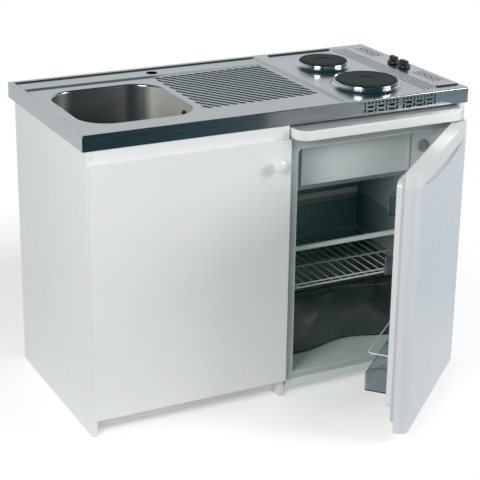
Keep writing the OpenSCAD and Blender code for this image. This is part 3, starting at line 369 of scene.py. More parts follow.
def link_piece(name, me, finish):
    """New object of a mesh, in one finish."""
    o = bpy.data.objects.new(name, me)
    bpy.context.collection.objects.link(o)
    me.materials.clear()
    me.materials.append(FIN[finish] if isinstance(finish, str) else finish)
    return o


def settle(o):
    """Applies a piece's modifiers."""
    dg = bpy.context.evaluated_depsgraph_get()
    me = bpy.data.meshes.new_from_object(o.evaluated_get(dg))
    o.modifiers.clear()
    old = o.data
    o.data = me
    bpy.data.meshes.remove(old)
    return o


def soften(o, edge, segments=2, angle=30.0, smooth=42.0):
    """Rounds a piece's edges and smooths its shading."""
    o.data.shade_smooth()
    if edge:
        m = o.modifiers.new("edges", "BEVEL")
        m.width, m.segments = edge / 1000, segments
        m.limit_method, m.angle_limit = "ANGLE", math.radians(angle)
        m.use_clamp_overlap = True
        m.miter_outer = "MITER_ARC"
    settle(o)
    o.data.shade_smooth()
    o.data.set_sharp_from_angle(angle=math.radians(smooth))
    m = o.modifiers.new("level_faces", "WEIGHTED_NORMAL")
    m.keep_sharp = True
    return settle(o)


# ---- shells built in millimetres ---------------------------------------------------------------

def rounded_loop(cx, cy, hx, hy, r, steps=8):
    """Outline of a rounded rectangle, anticlockwise, from its middle and half sizes."""
    pts = []
    for q, (sx, sy) in enumerate(((1, -1), (1, 1), (-1, 1), (-1, -1))):
        for i in range(steps + 1):
            a = math.radians(90 * (q - 1) + 90 * i / steps)
            pts.append((cx + sx * (hx - r) + r * math.cos(a),
                        cy + sy * (hy - r) + r * math.sin(a)))
    return pts


def circle_loop(cx, cy, r, steps=64):
    """Outline of a circle, anticlockwise."""
    return [(cx + r * math.cos(math.tau * i / steps), cy + r * math.sin(math.tau * i / steps))
            for i in range(steps)]


def ease(t):
    """Smooth step from 0 to 1."""
    t = min(max(t, 0.0), 1.0)
    return t * t * (3 - 2 * t)


def within(p, loop):
    """Whether a point lies inside an outline."""
    inside = False
    for (x0, y0), (x1, y1) in zip(loop, loop[1:] + loop[:1]):
        if (y0 > p[1]) != (y1 > p[1]) and p[0] < x0 + (p[1] - y0) * (x1 - x0) / (y1 - y0):
            inside = not inside
    return inside


class Shell:
    """Sheet under construction, in millimetres."""

    def __init__(self):
        self.v, self.f = [], []

    def loop(self, pts, z):
        """Points of an outline at one height; returns their numbers."""
        n = len(self.v)
        self.v += [(x, y, z) for x, y in pts]
        return list(range(n, n + len(pts)))

    def band(self, a, b, skip=()):
        """Strip of faces between two loops of as many points."""
        n = len(a)
        self.f += [(a[i], a[(i + 1) % n], b[(i + 1) % n], b[i]) for i in range(n) if i not in skip]

    def rings(self, loops):
        """Strips between loops given as (points, height); returns the last one."""
        ids = [self.loop(p, z) for p, z in loops]
        for a, b in zip(ids, ids[1:]):
            self.band(a, b)
        return ids[-1]

    def fill(self, outer, holes, where):
        """Level sheet inside an outline and outside the holes in it."""
        pts, edges = [], []
        for loop in [outer] + holes:
            n = len(pts)
            pts += [Vector(q) for q in loop]
            edges += [(n + i, n + (i + 1) % len(loop)) for i in range(len(loop))]
        verts, _, faces, *_ = delaunay_2d_cdt(pts, edges, [], 1, 1e-4)
        n = len(self.v)
        self.v += [where(q.x, q.y) for q in verts]
        for face in faces:
            mid = sum((verts[i] for i in face), Vector((0, 0))) / len(face)
            if within(mid, outer) and not any(within(mid, h) for h in holes):
                self.f.append([n + i for i in face])

    def grid(self, xs, ys, height, holes=()):
        """Rectangular net of a height, with rectangles (x0, x1, y0, y1) left out."""
        n, w = len(self.v), len(xs)
        self.v += [(x, y, height(x, y)) for y in ys for x in xs]
        for j in range(len(ys) - 1):
            for i in range(w - 1):
                x, y = (xs[i] + xs[i + 1]) / 2, (ys[j] + ys[j + 1]) / 2
                if not any(h[0] < x < h[1] and h[2] < y < h[3] for h in holes):
                    k = n + j * w + i
                    self.f.append((k, k + 1, k + 1 + w, k + w))

    def mesh(self, name, above=0):
        """Welded mesh; its widest level face above the given height looks up."""
        me = bpy.data.meshes.new(name)
        me.from_pydata([(x / 1000, y / 1000, z / 1000) for x, y, z in self.v], [], self.f)
        bm = bmesh.new()
        bm.from_mesh(me)
        bmesh.ops.remove_doubles(bm, verts=bm.verts, dist=8e-6)
        bmesh.ops.delete(bm, geom=[v for v in bm.verts if not v.link_faces], context="VERTS")
        bmesh.ops.recalc_face_normals(bm, faces=bm.faces)
        top = max((f for f in bm.faces if f.calc_center_median().z > above / 1000),
                  key=lambda f: f.calc_area() * abs(f.normal.z))
        if top.normal.z < 0:
            bmesh.ops.reverse_faces(bm, faces=bm.faces)
        bm.to_mesh(me)
        bm.free()
        return me


def rect_edge(x0, x1, y0, y1, xs, ys):
    """Outline of a rectangle through all the net lines that meet it."""
    px = [x for x in xs if x0 <= x <= x1]
    py = [y for y in ys if y0 <= y <= y1]
    return ([(x, y0) for x in px] + [(x1, y) for y in py[1:]]
            + [(x, y1) for x in px[-2::-1]] + [(x0, y) for y in py[-2:0:-1]])


def box_loop(x0, x1, y0, y1):
    """Outline of a rectangle by its corners only."""
    return [(x0, y0), (x1, y0), (x1, y1), (x0, y1)]


def turned(name, profile, at, finish, steps=96):
    """Shape turned on a lathe from (radius, height) pairs; radius 0 closes on the axis."""
    sh = Shell()
    last = None
    for r, z in profile:
        if r == 0:
            sh.v.append((at[0], at[1], at[2] + z))
            ring = [len(sh.v) - 1] * steps
        else:
            ring = sh.loop(circle_loop(at[0], at[1], r, steps), at[2] + z)
        if last:
            sh.band(last, ring)
        last = ring
    me = bpy.data.meshes.new(name)
    me.from_pydata([(x / 1000, y / 1000, z / 1000) for x, y, z in sh.v], [],
                   [list(dict.fromkeys(f)) for f in sh.f])
    bm = bmesh.new()
    bm.from_mesh(me)
    bmesh.ops.remove_doubles(bm, verts=bm.verts, dist=1e-6)
    bmesh.ops.recalc_face_normals(bm, faces=bm.faces)
    bm.to_mesh(me)
    bm.free()
    return link_piece(name, me, finish)


def arc(cx, cz, r, a0, a1, steps):
    """Points of an arc in a turning profile, angles in degrees."""
    return [(cx + r * math.cos(math.radians(a0 + (a1 - a0) * i / steps)),
             cz + r * math.sin(math.radians(a0 + (a1 - a0) * i / steps)))
            for i in range(steps + 1)]


TRIMS = {"glass_shelf": ("trim", lambda c: c.y < -180.9 or c.y > 188.9)}
BODY_OF = {n: b for b, ns in frame["record"]["behaviour"]["bodies"].items() for n in ns}


def dress(node, finish, edge=0.0, segments=2, angle=30.0, smooth=42.0):
    """Softened copy of a CAD solid that stands for it; TRIMS gives parts of it a second finish."""
    me = NODES[node].data.copy()
    tidy_mesh(me)
    o = link_piece(node + "_dressed", me, finish)
    if node in TRIMS:
        trim, is_trim = TRIMS[node]
        me.materials.append(FIN[trim])
        for face in me.polygons:
            face.material_index = int(is_trim(face.center * 1000))
    soften(o, edge, segments, angle, smooth)
    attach(o, BODY_OF[node])
    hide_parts(node)
    return o


def stand_for(o, *nodes):
    """A finished piece rides with and stands for CAD nodes."""
    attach(o, BODY_OF[nodes[0]])
    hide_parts(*nodes)
    return o


# ---- worktop, in the sizes of the CAD part (millimetres) ---------------------------------------

WIDE, DEEP, TOP, BAND = 1200, 600, 870, 45
SHEET = 0.8
CORNER, FOLD, FOOT, RETURN = 5, 3, 1.5, 26   # radii of corner, upper and lower fold; return's width
FRAME = 1.5                              # narrow level ring inside the upper fold
LEDGE, FLOOR = TOP - 4, TOP - 8
HOLLOW = (-588, 200, -288, 285)          # sunken area: x0, x1, y0, y1
SLOPE, SLOPE_RIGHT = 15, 21
LEDGE_SLOPE = (195, 20)                  # start and length of the slope up to the tap ledge
REAR_SLOPE = (271, 13)                   # and of the one up to the rear rim
FALL = 3.4                               # rise of the drainer from the bowl to its far end
BOWL = (-374, -18, 335, 355, 88)         # middle, width, length, corner radius
BOWL_DEPTH, BOWL_ROLL = 150, 5
DRAIN = (-185, 173, -168, 194)
PLATES = ((335, -160, 90), (335, 92, 72.5))
SEAT, SEAT_FOOT, SEAT_TOP = 7, 18, 9     # height, and reach beyond the plate below and above
TAP = (-169, 242.5, 17.5)
COLUMN = 556
BEADS = ((353, 274, 228, 22), (552, -254, 84, 24))
BEAD_RISE, BEAD_RUN = 4, 6
LINES = (470, 14, 4, 4.4)                # first line, pitch, number, width
LINE_RISE, LINE_RUN, LINE_ENDS = 2.2, 1.8, 35
VENT_CELL = 35.2
VENT_LOW = TOP - BAND + 8
SLOT = 6                                 # width of a vent slot, side of a square
BAND_VENTS = (248, 376.5)
COLUMN_VENTS = (-194, 140)
COLUMN_FRONT, COLUMN_GROW = 15, 0.8      # vents before the column's middle; punched wider
GROOVES = (-59, 22.4, 2.4)               # turn in degrees, pitch, depth
GROOVE_CUTS = (0, 0.115, 0.23, 0.285, 0.345, 0.40, 0.55, 0.69, 0.83, 0.885, 0.945)
GROOVE_ENDS = (0, 1.5, 3, 5, 8, 12)      # net places near each end of a groove
GROOVE_FADE = 5
NET = 1.5                                # net width where the sheet slopes
MARGIN = 3                               # net kept round the hollow and the grooved field
BOWL_NET, TAP_NET = (181.5, 191.5), (24, 23)     # half sizes of the net's gaps for bowl and tap hole


def vent_squares(low, cells=3):
    """Row of small squares above a height."""
    return [(VENT_CELL * i / 3 - SLOT / 2, VENT_CELL * i / 3 + SLOT / 2, low, low + SLOT)
            for i in range(3 * cells + 1)]


def vent_slots(cells=3):
    """Basket weave of upright slots and pairs of long slots, with a row of squares."""
    out = [(VENT_CELL * i - SLOT / 2, VENT_CELL * i + SLOT / 2, lo, hi)
           for i in range(cells + 1) for lo, hi in ((0, 12), (16, 21))]
    out += [(VENT_CELL * (i + 0.5) - 10, VENT_CELL * (i + 0.5) + 10, lo, lo + SLOT)
            for i in range(cells) for lo in (0, 12.5)]
    return out + vent_squares(24, cells)


def ramp_down(t):
    """Slope of a pressed step: straight, with softened ends."""
    t = min(max(t, 0.0), 1.0)
    return 0.6 * t + 0.4 * ease(t)


def drain_level(x):
    """The drainer falls a little toward the bowl."""
    far = (x - DRAIN[0] + MARGIN) / (DRAIN[1] - DRAIN[0] + 2 * MARGIN)
    return FLOOR + FALL * min(max(far, 0), 1)


def hollow_height(x, y):
    """Level of the sunken area: slopes at its sides, and the tap ledge at the rear."""
    x0, x1, y0, _ = HOLLOW
    base = drain_level(x)
    side = max(1 - ramp_down((x - x0) / SLOPE), 1 - ramp_down((x1 - x) / SLOPE_RIGHT),
               1 - ramp_down((y - y0) / SLOPE))
    rear = (FLOOR + (LEDGE - FLOOR) * ramp_down((y - LEDGE_SLOPE[0]) / LEDGE_SLOPE[1])
            + (TOP - LEDGE) * ramp_down((y - REAR_SLOPE[0]) / REAR_SLOPE[1]))
    return max(base + side * (TOP - base), rear)


def net_lines(lo, hi, fine, extra):
    """Net line places: both ends, narrow steps in the fine spans, and extra lines."""
    out = {lo, hi, *extra}
    for a, b in fine:
        n = round((b - a) / NET)
        out |= {round(a + (b - a) * i / n, 3) for i in range(n + 1)}
    return sorted(out)


def drainer_net(sh):
    """Grooved field: a net that follows the slanting grooves, which fade at the field's edges."""
    x0, x1, y0, y1 = DRAIN
    cx, cy = (x0 + x1) / 2, (y0 + y1) / 2
    turn, pitch, depth = math.radians(GROOVES[0]), GROOVES[1], GROOVES[2]
    ux, uy = math.cos(turn), math.sin(turn)
    corners = [(x - cx, y - cy) for x in (x0, x1) for y in (y0, y1)]
    across = sorted(-x * uy + y * ux for x, y in corners)
    lines = {round(v, 4) for v in across}
    n = int(across[-1] / pitch) + 1
    for i in range(-n - 1, n + 1):
        lines |= {round((i + c) * pitch, 4) for c in GROOVE_CUTS
                  if across[0] + 0.4 < (i + c) * pitch < across[-1] - 0.4}
    rows = []
    for v in sorted(lines):
        px, py = cx - v * uy, cy + v * ux
        spans = [sorted(((x0 - px) / ux, (x1 - px) / ux)),
                 sorted(((y0 - py) / uy, (y1 - py) / uy))]
        t0, t1 = max(spans[0][0], spans[1][0]), min(spans[0][1], spans[1][1])
        t1 = max(t0, t1)
        k = min(1.0, (t1 - t0) / 30)
        ts = [t0 + e * k for e in GROOVE_ENDS] + [t1 - e * k for e in reversed(GROOVE_ENDS)]
        f = (v / pitch) % 1
        low = ease((f - 0.23) / 0.17) - ease((f - 0.83) / 0.17)
        row = []
        for t in ts:
            x, y = px + t * ux, py + t * uy
            edge = min(x - x0, x1 - x, y - y0, y1 - y)
            row.append((x, y, drain_level(x) - depth * low * ease(edge / GROOVE_FADE)))
        rows.append(row)
    n, w = len(sh.v), len(rows[0])
    sh.v += [p for row in rows for p in row]
    sh.f += [(n + j * w + i, n + j * w + i + 1, n + (j + 1) * w + i + 1, n + (j + 1) * w + i)
             for j in range(len(rows) - 1) for i in range(w - 1)]
    return [row[0][:2] for row in rows] + [row[-1][:2] for row in rows[-2:0:-1]]


def at_level(z):
    """Places flat points at one height."""
    return lambda x, y: (x, y, z)


def widened(x0, x1, y0, y1):
    """Rectangle with the margin round it."""
    return x0 - MARGIN, x1 + MARGIN, y0 - MARGIN, y1 + MARGIN


def around(at, half):
    """Rectangle of two half sizes round a place."""
    return at[0] - half[0], at[0] + half[0], at[1] - half[1], at[1] + half[1]


def worktop_outline(inset):
    """Worktop's edge, drawn in by an inset."""
    return rounded_loop(0, 0, WIDE / 2 - inset, DEEP / 2 - inset, max(CORNER - inset, 0.6), 6)


def quarter(steps):
    """Angles from 0 to a right angle, both included."""
    return [math.pi / 2 * i / steps for i in range(steps + 1)]


def folded_band(sh):
    """Band round the worktop with its two folds, and the vents in its front."""
    top = [sh.loop(worktop_outline(FOLD * (1 - math.cos(t))), TOP - FOLD + FOLD * math.sin(t))
           for t in quarter(5)] + [sh.loop(worktop_outline(FOLD + FRAME), TOP)]
    for a, b in zip(top, top[1:]):
        sh.band(a, b)
    bottom = TOP - BAND
    low = [sh.loop(worktop_outline(FOOT * (1 - math.cos(t))), bottom + FOOT - FOOT * math.sin(t))
           for t in quarter(3)] + [sh.loop(worktop_outline(RETURN), bottom)]
    for a, b in zip(low, low[1:]):
        sh.band(a, b)
    front = len(top[0]) - 1
    sh.band(top[0], low[0], skip=(front,))
    slots = [box_loop(x + a, x + b, VENT_LOW + c, VENT_LOW + d)
             for x in BAND_VENTS for a, b, c, d in vent_slots()]
    sh.fill(box_loop(CORNER - WIDE / 2, WIDE / 2 - CORNER, bottom + FOOT, TOP - FOLD), slots,
            lambda x, z: (x, -DEEP / 2, z))


def sunken_area(sh):
    """Hollow with bowl rim, grooved drainer and tap hole; returns its outline."""
    x0, x1, y0, y1 = widened(*HOLLOW)
    boxes = bowl_box, drain_box, tap_box = (around(BOWL, BOWL_NET), widened(*DRAIN),
                                            around(TAP, TAP_NET))
    xs = net_lines(x0, x1, ((HOLLOW[0], HOLLOW[0] + SLOPE), (HOLLOW[1] - 24, HOLLOW[1])),
                   [v for b in boxes for v in b[:2]])
    ys = net_lines(y0, y1, ((HOLLOW[2], HOLLOW[2] + SLOPE),
                            (LEDGE_SLOPE[0], sum(LEDGE_SLOPE)), (REAR_SLOPE[0] - 1, HOLLOW[3])),
                   [v for b in boxes for v in b[2:]])
    sh.grid(xs, ys, hollow_height, boxes)

    def bowl_rim(d):
        return rounded_loop(BOWL[0], BOWL[1], BOWL[2] / 2 + d, BOWL[3] / 2 + d, BOWL[4] + d, 16)

    sh.fill(rect_edge(*bowl_box, xs, ys), [bowl_rim(BOWL_ROLL + 4)], at_level(FLOOR))
    sh.rings([(bowl_rim(BOWL_ROLL + 4), FLOOR), (bowl_rim(BOWL_ROLL), FLOOR)])
    sh.rings([(bowl_rim(BOWL_ROLL * (1 - math.sin(t))), FLOOR - BOWL_ROLL * (1 - math.cos(t)))
              for t in quarter(6)])
    sh.fill(rect_edge(*drain_box, xs, ys), [drainer_net(sh)],
            lambda x, y: (x, y, drain_level(x)))

    def tap(d):
        return circle_loop(TAP[0], TAP[1], TAP[2] + d, 48)

    sh.fill(rect_edge(*tap_box, xs, ys), [tap(3)], at_level(LEDGE))
    sh.rings([(tap(3), LEDGE), (tap(0.8), LEDGE), (tap(0.25), LEDGE - 0.25),
              (tap(0), LEDGE - 0.8)])
    return rect_edge(x0, x1, y0, y1, xs, ys)


def pressed_seats(sh):
    """Raised seats of the hotplates; returns their outlines."""
    holes = []
    for x, y, plate in PLATES:
        holes.append(circle_loop(x, y, plate + 26, 96))
        steps = [(26, 0)]
        steps += [(SEAT_FOOT - (SEAT_FOOT - SEAT_TOP) * i / 6, SEAT * ramp_down(i / 6))
                  for i in range(7)]
        steps += [(-8, SEAT)]
        sh.rings([(circle_loop(x, y, plate + d, 96), TOP + z) for d, z in steps])
    return holes


def pressed_beads(sh):
    """Two wide beads and the fine lines beside the control column; returns their outlines."""
    first, pitch, number, width = LINES
    stadiums = [(x, y, l, w, BEAD_RISE, BEAD_RUN) for x, y, l, w in BEADS]
    stadiums += [(first + pitch * i, 0, width, DEEP - 2 * LINE_ENDS, LINE_RISE, LINE_RUN)
                 for i in range(number)]
    holes = []
    for x, y, l, w, h, run in stadiums:
        mid = min(l, w) / 2
        loops = [(rounded_loop(x, y, l / 2 - d, w / 2 - d, mid - d - 0.05, 8),
                  TOP + h * ease(d / run))
                 for d in [-1] + [run * i / 6 for i in range(7)]]
        holes.append(loops[0][0])
        sh.f.append(sh.rings(loops))
    return holes


def column_vents():
    """Outlines of the two vents in the control column."""
    front, grow = COLUMN + COLUMN_FRONT, COLUMN_GROW
    return [box_loop(front + grow - d, front - grow - c, y + a - grow, y + b + grow)
            for y in COLUMN_VENTS for a, b, c, d in vent_slots() + vent_squares(-11.5)]


def worktop_sheet():
    """One pressed sheet: folded band, sunken area, bowl rim, seats, beads, lines and vents."""
    sh = Shell()
    folded_band(sh)
    holes = [sunken_area(sh)] + pressed_seats(sh) + pressed_beads(sh) + column_vents()
    sh.fill(worktop_outline(FOLD + FRAME), holes, at_level(TOP))
    o = link_piece("worktop_sheet", sh.mesh("worktop_sheet", FLOOR - 1), "steel")
    m = o.modifiers.new("sheet", "SOLIDIFY")
    m.thickness, m.offset = SHEET / 1000, -1
    # Painted shade: the sheet's underside and its cut edges, the vent walls among them, take a
    # near-black finish.
    o.data.materials.append(FIN["painted_shade_sheet"])
    m.material_offset = m.material_offset_rim = 1
    soften(o, 0, smooth=50)
    return stand_for(o, "worktop")


def sink_bowl():
    """Drawn bowl: nearly upright walls, deep rounded foot and a bottom that falls to the waste."""
    sh = Shell()
    z0, z1 = FLOOR - SHEET, FLOOR - SHEET - BOWL_DEPTH

    def rim(d, r):
        return rounded_loop(BOWL[0], BOWL[1], BOWL[2] / 2 - d, BOWL[3] / 2 - d, r, 16)

    steps = [(-0.2, 3.2), (0.2, 12), (0.9, 40), (1.8, 75), (2.6, 98)]
    steps += [(32 - 29.4 * math.cos(t), 104 + 45 * math.sin(t))
              for t in (math.pi / 2 * i / 12 for i in range(12))]
    loops = [(rim(d, BOWL[4] - 0.62 * d), z0 - z) for d, z in steps]
    foot = rim(34, BOWL[4] - 21)
    ring = [Vector((x - BOWL[0], y - BOWL[1])).normalized() * 44 for x, y in foot]
    for t in (0, 0.15, 0.35, 0.6, 0.85, 1):
        loops.append(([(x + (BOWL[0] + c.x - x) * t, y + (BOWL[1] + c.y - y) * t)
                       for (x, y), c in zip(foot, ring)], z1 + 1.4 - 1.2 * t))
    for r, z in ((40, 0.15), (26.2, 0.1)):
        loops.append(([(BOWL[0] + c.x * r / 44, BOWL[1] + c.y * r / 44) for c in ring],
                      z1 + z))
    sh.rings(loops)
    o = link_piece("drawn_bowl", sh.mesh("drawn_bowl"), "bowl")
    m = o.modifiers.new("sheet", "SOLIDIFY")
    m.thickness, m.offset = SHEET / 1000, -1
    soften(o, 0, smooth=60)
    return stand_for(o, "sink_bowl")


def hotplates():
    """Cast iron plates with a turned top and recessed middle, in rolled bright rims."""
    for (x, y, r), plate, rim, iron in zip(PLATES, ("hotplate_front", "hotplate_rear"),
                                           ("rim_front", "rim_rear_plate"),
                                           ("iron_front", "iron_rear")):
        body = [(0, -14), (r - 20, -14), (r - 13, -6), (r - 13, 8.6), (r - 0.6, 8.6), (r, 9.2)]
        body += arc(r - 3, 19, 3, 0, 90, 6) + [(r - 9, 22)]
        body += arc(r - 10.5, 22, 1.1, 0, -180, 4)
        body += [(r - 12.5, 22), (26, 22), (24.5, 21.8), (23, 20.9), (21.5, 20.6), (0, 20.6)]
        o = turned(plate + "_turned", body, (x, y, TOP), iron)
        stand_for(soften(o, 0, smooth=50), plate)
        lip = [(r - 6, SEAT + 1.6), (r - 6, SEAT), (r + 8.6, SEAT)]
        lip += arc(r + 8.4, SEAT + 0.7, 0.6, -60, 90, 4)
        lip += [(r + 7, SEAT + 1.45), (r + 5.8, SEAT + 2), (r + 5, SEAT + 3)]
        lip += [(r + 4.6, SEAT + 4.4), (r + 4.5, SEAT + 6.2), (r + 4.4, SEAT + 8.2)]
        lip += arc(r + 2.4, SEAT + 9.2, 2, 0, 120, 6)
        lip += [(r + 0.3, SEAT + 10), (r + 0.3, SEAT + 1.6), (r - 6, SEAT + 1.6)]
        o = turned(rim + "_rolled", lip, (x, y, TOP), "bright")
        stand_for(soften(o, 0, smooth=50), rim)


def wirework_tree():
    """Rods along drawn paths, and a row of straight wires beside each other."""
    g = bpy.data.node_groups.new("wirework", "GeometryNodeTree")
    for label, kind in (("Paths", "Geometry"), ("First Wire", "Vector"), ("Step", "Vector"),
                        ("Run", "Vector"), ("Wires", "Int"), ("Wire Radius", "Float"),
                        ("Finish", "Material")):
        g.interface.new_socket(label, in_out="INPUT", socket_type="NodeSocket" + kind)
    g.interface.new_socket("Rods", in_out="OUTPUT", socket_type="NodeSocketGeometry")
    a, b = g.nodes.new("NodeGroupInput"), g.nodes.new("NodeGroupOutput")

    def made(kind, **links):
        n = g.nodes.new("GeometryNode" + kind)
        for label, source in links.items():
            g.links.new(source, n.inputs[label.replace("_", " ")])
        return n

    thick = made("InputNamedAttribute")
    thick.data_type = "FLOAT"
    thick.inputs["Name"].default_value = "thickness"
    round_1, round_2 = made("CurvePrimitiveCircle"), made("CurvePrimitiveCircle")
    for n in (round_1, round_2):
        n.inputs["Resolution"].default_value = 10
    round_1.inputs["Radius"].default_value = 1.0
    g.links.new(a.outputs["Wire Radius"], round_2.inputs["Radius"])
    path = made("MeshToCurve", Mesh=a.outputs["Paths"])
    sized = made("SetCurveRadius", Curve=path.outputs[0], Radius=thick.outputs["Attribute"])
    rails = made("CurveToMesh", Curve=sized.outputs[0], Profile_Curve=round_1.outputs[0])
    if "Scale" in rails.inputs:
        g.links.new(thick.outputs["Attribute"], rails.inputs["Scale"])
    wire = made("CurvePrimitiveLine", End=a.outputs["Run"])
    rod = made("CurveToMesh", Curve=wire.outputs[0], Profile_Curve=round_2.outputs[0])
    for n in (rails, rod):
        n.inputs["Fill Caps"].default_value = True
    row = made("MeshLine", Count=a.outputs["Wires"], Start_Location=a.outputs["First Wire"],
               Offset=a.outputs["Step"])
    wires = made("InstanceOnPoints", Points=row.outputs[0], Instance=rod.outputs[0])
    both = made("JoinGeometry")
    g.links.new(rails.outputs[0], both.inputs[0])
    g.links.new(wires.outputs[0], both.inputs[0])
    whole = made("RealizeInstances", Geometry=both.outputs[0])
    done = made("SetMaterial", Geometry=whole.outputs[0], Material=a.outputs["Finish"])
    g.links.new(done.outputs[0], b.inputs[0])
    return g


WIREWORK = wirework_tree()


def wirework(name, paths, first, step, run, wires, radius, finish, node):
    """Wire piece from paths of (points, radius, closed) and a row of wires, in millimetres."""
    verts, edges, thick = [], [], []
    for pts, r, closed in paths:
        n = len(verts)
        verts += [tuple(v / 1000 for v in q) for q in pts]
        thick += [r / 1000] * len(pts)
        edges += [(n + i, n + i + 1) for i in range(len(pts) - 1)]
        edges += [(n + len(pts) - 1, n)] if closed else []
    me = bpy.data.meshes.new(name)
    me.from_pydata(verts, edges, [])
    layer = me.attributes.new("thickness", "FLOAT", "POINT")
    layer.data.foreach_set("value", thick)
    o = link_piece(name, me, finish)
    m = o.modifiers.new("wirework", "NODES")
    m.node_group = WIREWORK
    ids = {i.name: i.identifier for i in WIREWORK.interface.items_tree if i.in_out == "INPUT"}
    for label, value in (("First Wire", first), ("Step", step), ("Run", run)):
        m[ids[label]] = tuple(v / 1000 for v in value)
    m[ids["Wires"]], m[ids["Wire Radius"]], m[ids["Finish"]] = wires, radius / 1000, FIN[finish]
    settle(o)
    soften(o, 0, smooth=50)
    return stand_for(o, node)


def shelf_of_wires():
    """Coated wire shelf: frame, middle bar, raised front bar on two posts, and 17 wires."""
    x0, x1, y0, y1, z = 40, 538, -187, 188, 282
    loop = [(x, y, z) for x, y in
            rounded_loop((x0 + x1) / 2, (y0 + y1) / 2, (x1 - x0) / 2, (y1 - y0) / 2, 10, 6)]
    paths = [(loop, 2.5, True), ([(x0, -40, z), (x1, -40, z)], 2, False),
             ([(x0 + 12, y0, z + 11), (x1 - 12, y0, z + 11)], 2, False)]
    paths += [([(x, y0, z), (x, y0, z + 11)], 1.6, False) for x in (x0 + 20, x1 - 20)]
    wirework("wire_shelf_rods", paths, (x0 + 15, y0 - 1, z + 3.2), ((x1 - x0 - 30) / 16, 0, 0),
             (0, y1 - y0 + 2, 0), 17, 1.5, "wire", "wire_shelf")


def condenser_grid():
    """Black condenser: one tube that runs to and fro, brackets, and 12 upright wires."""
    x0, x1, y, z0, pitch, rows = 74, 504, 243, 285, 50, 10
    tube = []
    for i in range(rows):
        z = z0 + pitch * i
        ends = (x0, x1) if i % 2 == 0 else (x1, x0)
        tube += [(ends[0], y, z), (ends[1], y, z)]
        if i < rows - 1:
            out = 1 if i % 2 == 0 else -1
            tube += [(ends[1] + out * pitch / 2 * math.sin(t), y, z + pitch / 2 * (1 - math.cos(t)))
                     for t in (math.pi * k / 10 for k in range(1, 10))]
    paths = [(tube, 2.5, False)]
    paths += [([(x, 235, z), (x, y + 1, z)], 4, False) for x in (x0 + 30, x1 - 30)
              for z in (z0, z0 + pitch * (rows - 1))]
    wirework("condenser_rods", paths, (x0 + 12, y + 3, z0 - 20), ((x1 - x0 - 24) / 11, 0, 0),
             (0, 0, pitch * (rows - 1) + 40), 12, 1.2, "black_enamel", "condenser")


worktop_sheet()
sink_bowl()
hotplates()
shelf_of_wires()
condenser_grid()

# CAD node, finish, rounding of its edges in millimetres
DRESS = [
    ("left_panel", "board", 1.0), ("middle_panel", "board", 1.0), ("right_panel", "board", 1.0),
    ("base_board", "board", 0.8), ("back_panel", "board", 0.5), ("front_rail", "board", 1.0),
    ("rear_rail", "board", 0.8), ("bay_rail", "board", 0.8), ("plinth", "board", 1.0),
    ("cover_caps", "plastic", 0.3), ("cabinet_door", "board", 1.2), ("door_knob", "plastic", 0.6),
    ("hinge_cups", "zinc", 0.3), ("hinge_arms", "zinc", 0.8),
    ("basket_waste", "steel", 0.2), ("bottle_trap", "plastic", 0.6),
    ("overflow_rosette", "black_plastic", 0.5), ("overflow_pipe", "plastic", 0.5),
    ("sink_plug", "rubber", 0.8), ("plug_chain", "bright", 0.0),
    ("clamp_bridges", "zinc", 0.5), ("heat_shield", "zinc", 0.3), ("switch_bodies", "ivory", 0.8),
    ("spindle_rear", "zinc", 0.3), ("spindle_front", "zinc", 0.3), ("knob_rear", "black_plastic", 1.0),
    ("knob_front", "black_plastic", 1.0), ("terminal_box", "ivory", 1.0),
    ("fridge_cabinet", "case", 1.5), ("fridge_liner", "liner", 1.0), ("fridge_cover", "cover", 4.0),
    ("fridge_frame", "tub", 1.0), ("fridge_feet", "grey_plastic", 0.8),
    ("compressor", "black_enamel", 0.0),
    ("hinge_bottom", "zinc", 0.5), ("hinge_top", "zinc", 0.5), ("freezer_box", "aluminium", 0.8),
    ("freezer_flap", "flap", 1.2), ("control_housing", "housing", 1.5),
    ("thermostat_dial", "grey_plastic", 0.8), ("glass_shelf", "glass", 0.8),
    ("crisper_cover", "glass", 0.8), ("crisper", "tray", 0.6),
    ("fridge_door", "enamel", 3.0), ("door_grip_cap", "plastic", 3.0), ("door_liner", "plastic", 2.0),
    ("door_gasket", "gasket", 1.5), ("rack_top", "smoke", 0.6), ("rack_middle", "smoke", 0.6),
    ("rack_bottom", "smoke", 0.6), ("bottle_wire", "wire", 0.0),
]
for row in DRESS:
    dress(*row)


# ---- studio ------------------------------------------------------------------------------------

FLOOR_RADIUS = 1.9
FLOOR_MIDDLE = (-0.1, 0.3, 0)
FLOOR_FADE = (0.75, 1.3)                 # radii between which the paper fades out


def studio_floor():
    """Pale floor that fades out into the white background."""
    me = bpy.data.meshes.new("studio_floor")
    bm = bmesh.new()
    bmesh.ops.create_circle(bm, cap_ends=True, segments=96, radius=FLOOR_RADIUS)
    bm.to_mesh(me)
    bm.free()
    f = Finish("floor_paper", (0.93, 0.93, 0.93), 0.8)
    f.p.inputs["Emission Color"].default_value = (1, 1, 1, 1)
    path = f.node("ShaderNodeLightPath")
    f.link(f.ramp(path.outputs["Is Camera Ray"], 0.06, 0.3), f.p.inputs["Emission Strength"])
    s = f.effect(SKIN, f.place(), Peel_Scale=220.0)
    f.bump(s["Peel"], 0.0001, 0.15)
    r = f.effect(RINGS, f.place(at=FLOOR_MIDDLE))
    see = f.node("ShaderNodeBsdfTransparent")
    mix = f.node("ShaderNodeMixShader")
    out = f.nt.nodes["Material Output"]
    f.link(f.ramp(r["Radius"], 0, 1, *FLOOR_FADE), mix.inputs[0])
    f.link(f.p.outputs[0], mix.inputs[1])
    f.link(see.outputs[0], mix.inputs[2])
    f.link(mix.outputs[0], out.inputs["Surface"])
    o = link_piece("studio_floor", me, f.mat)
    o.data.transform(Matrix.Translation((0, 0, -0.0005)))


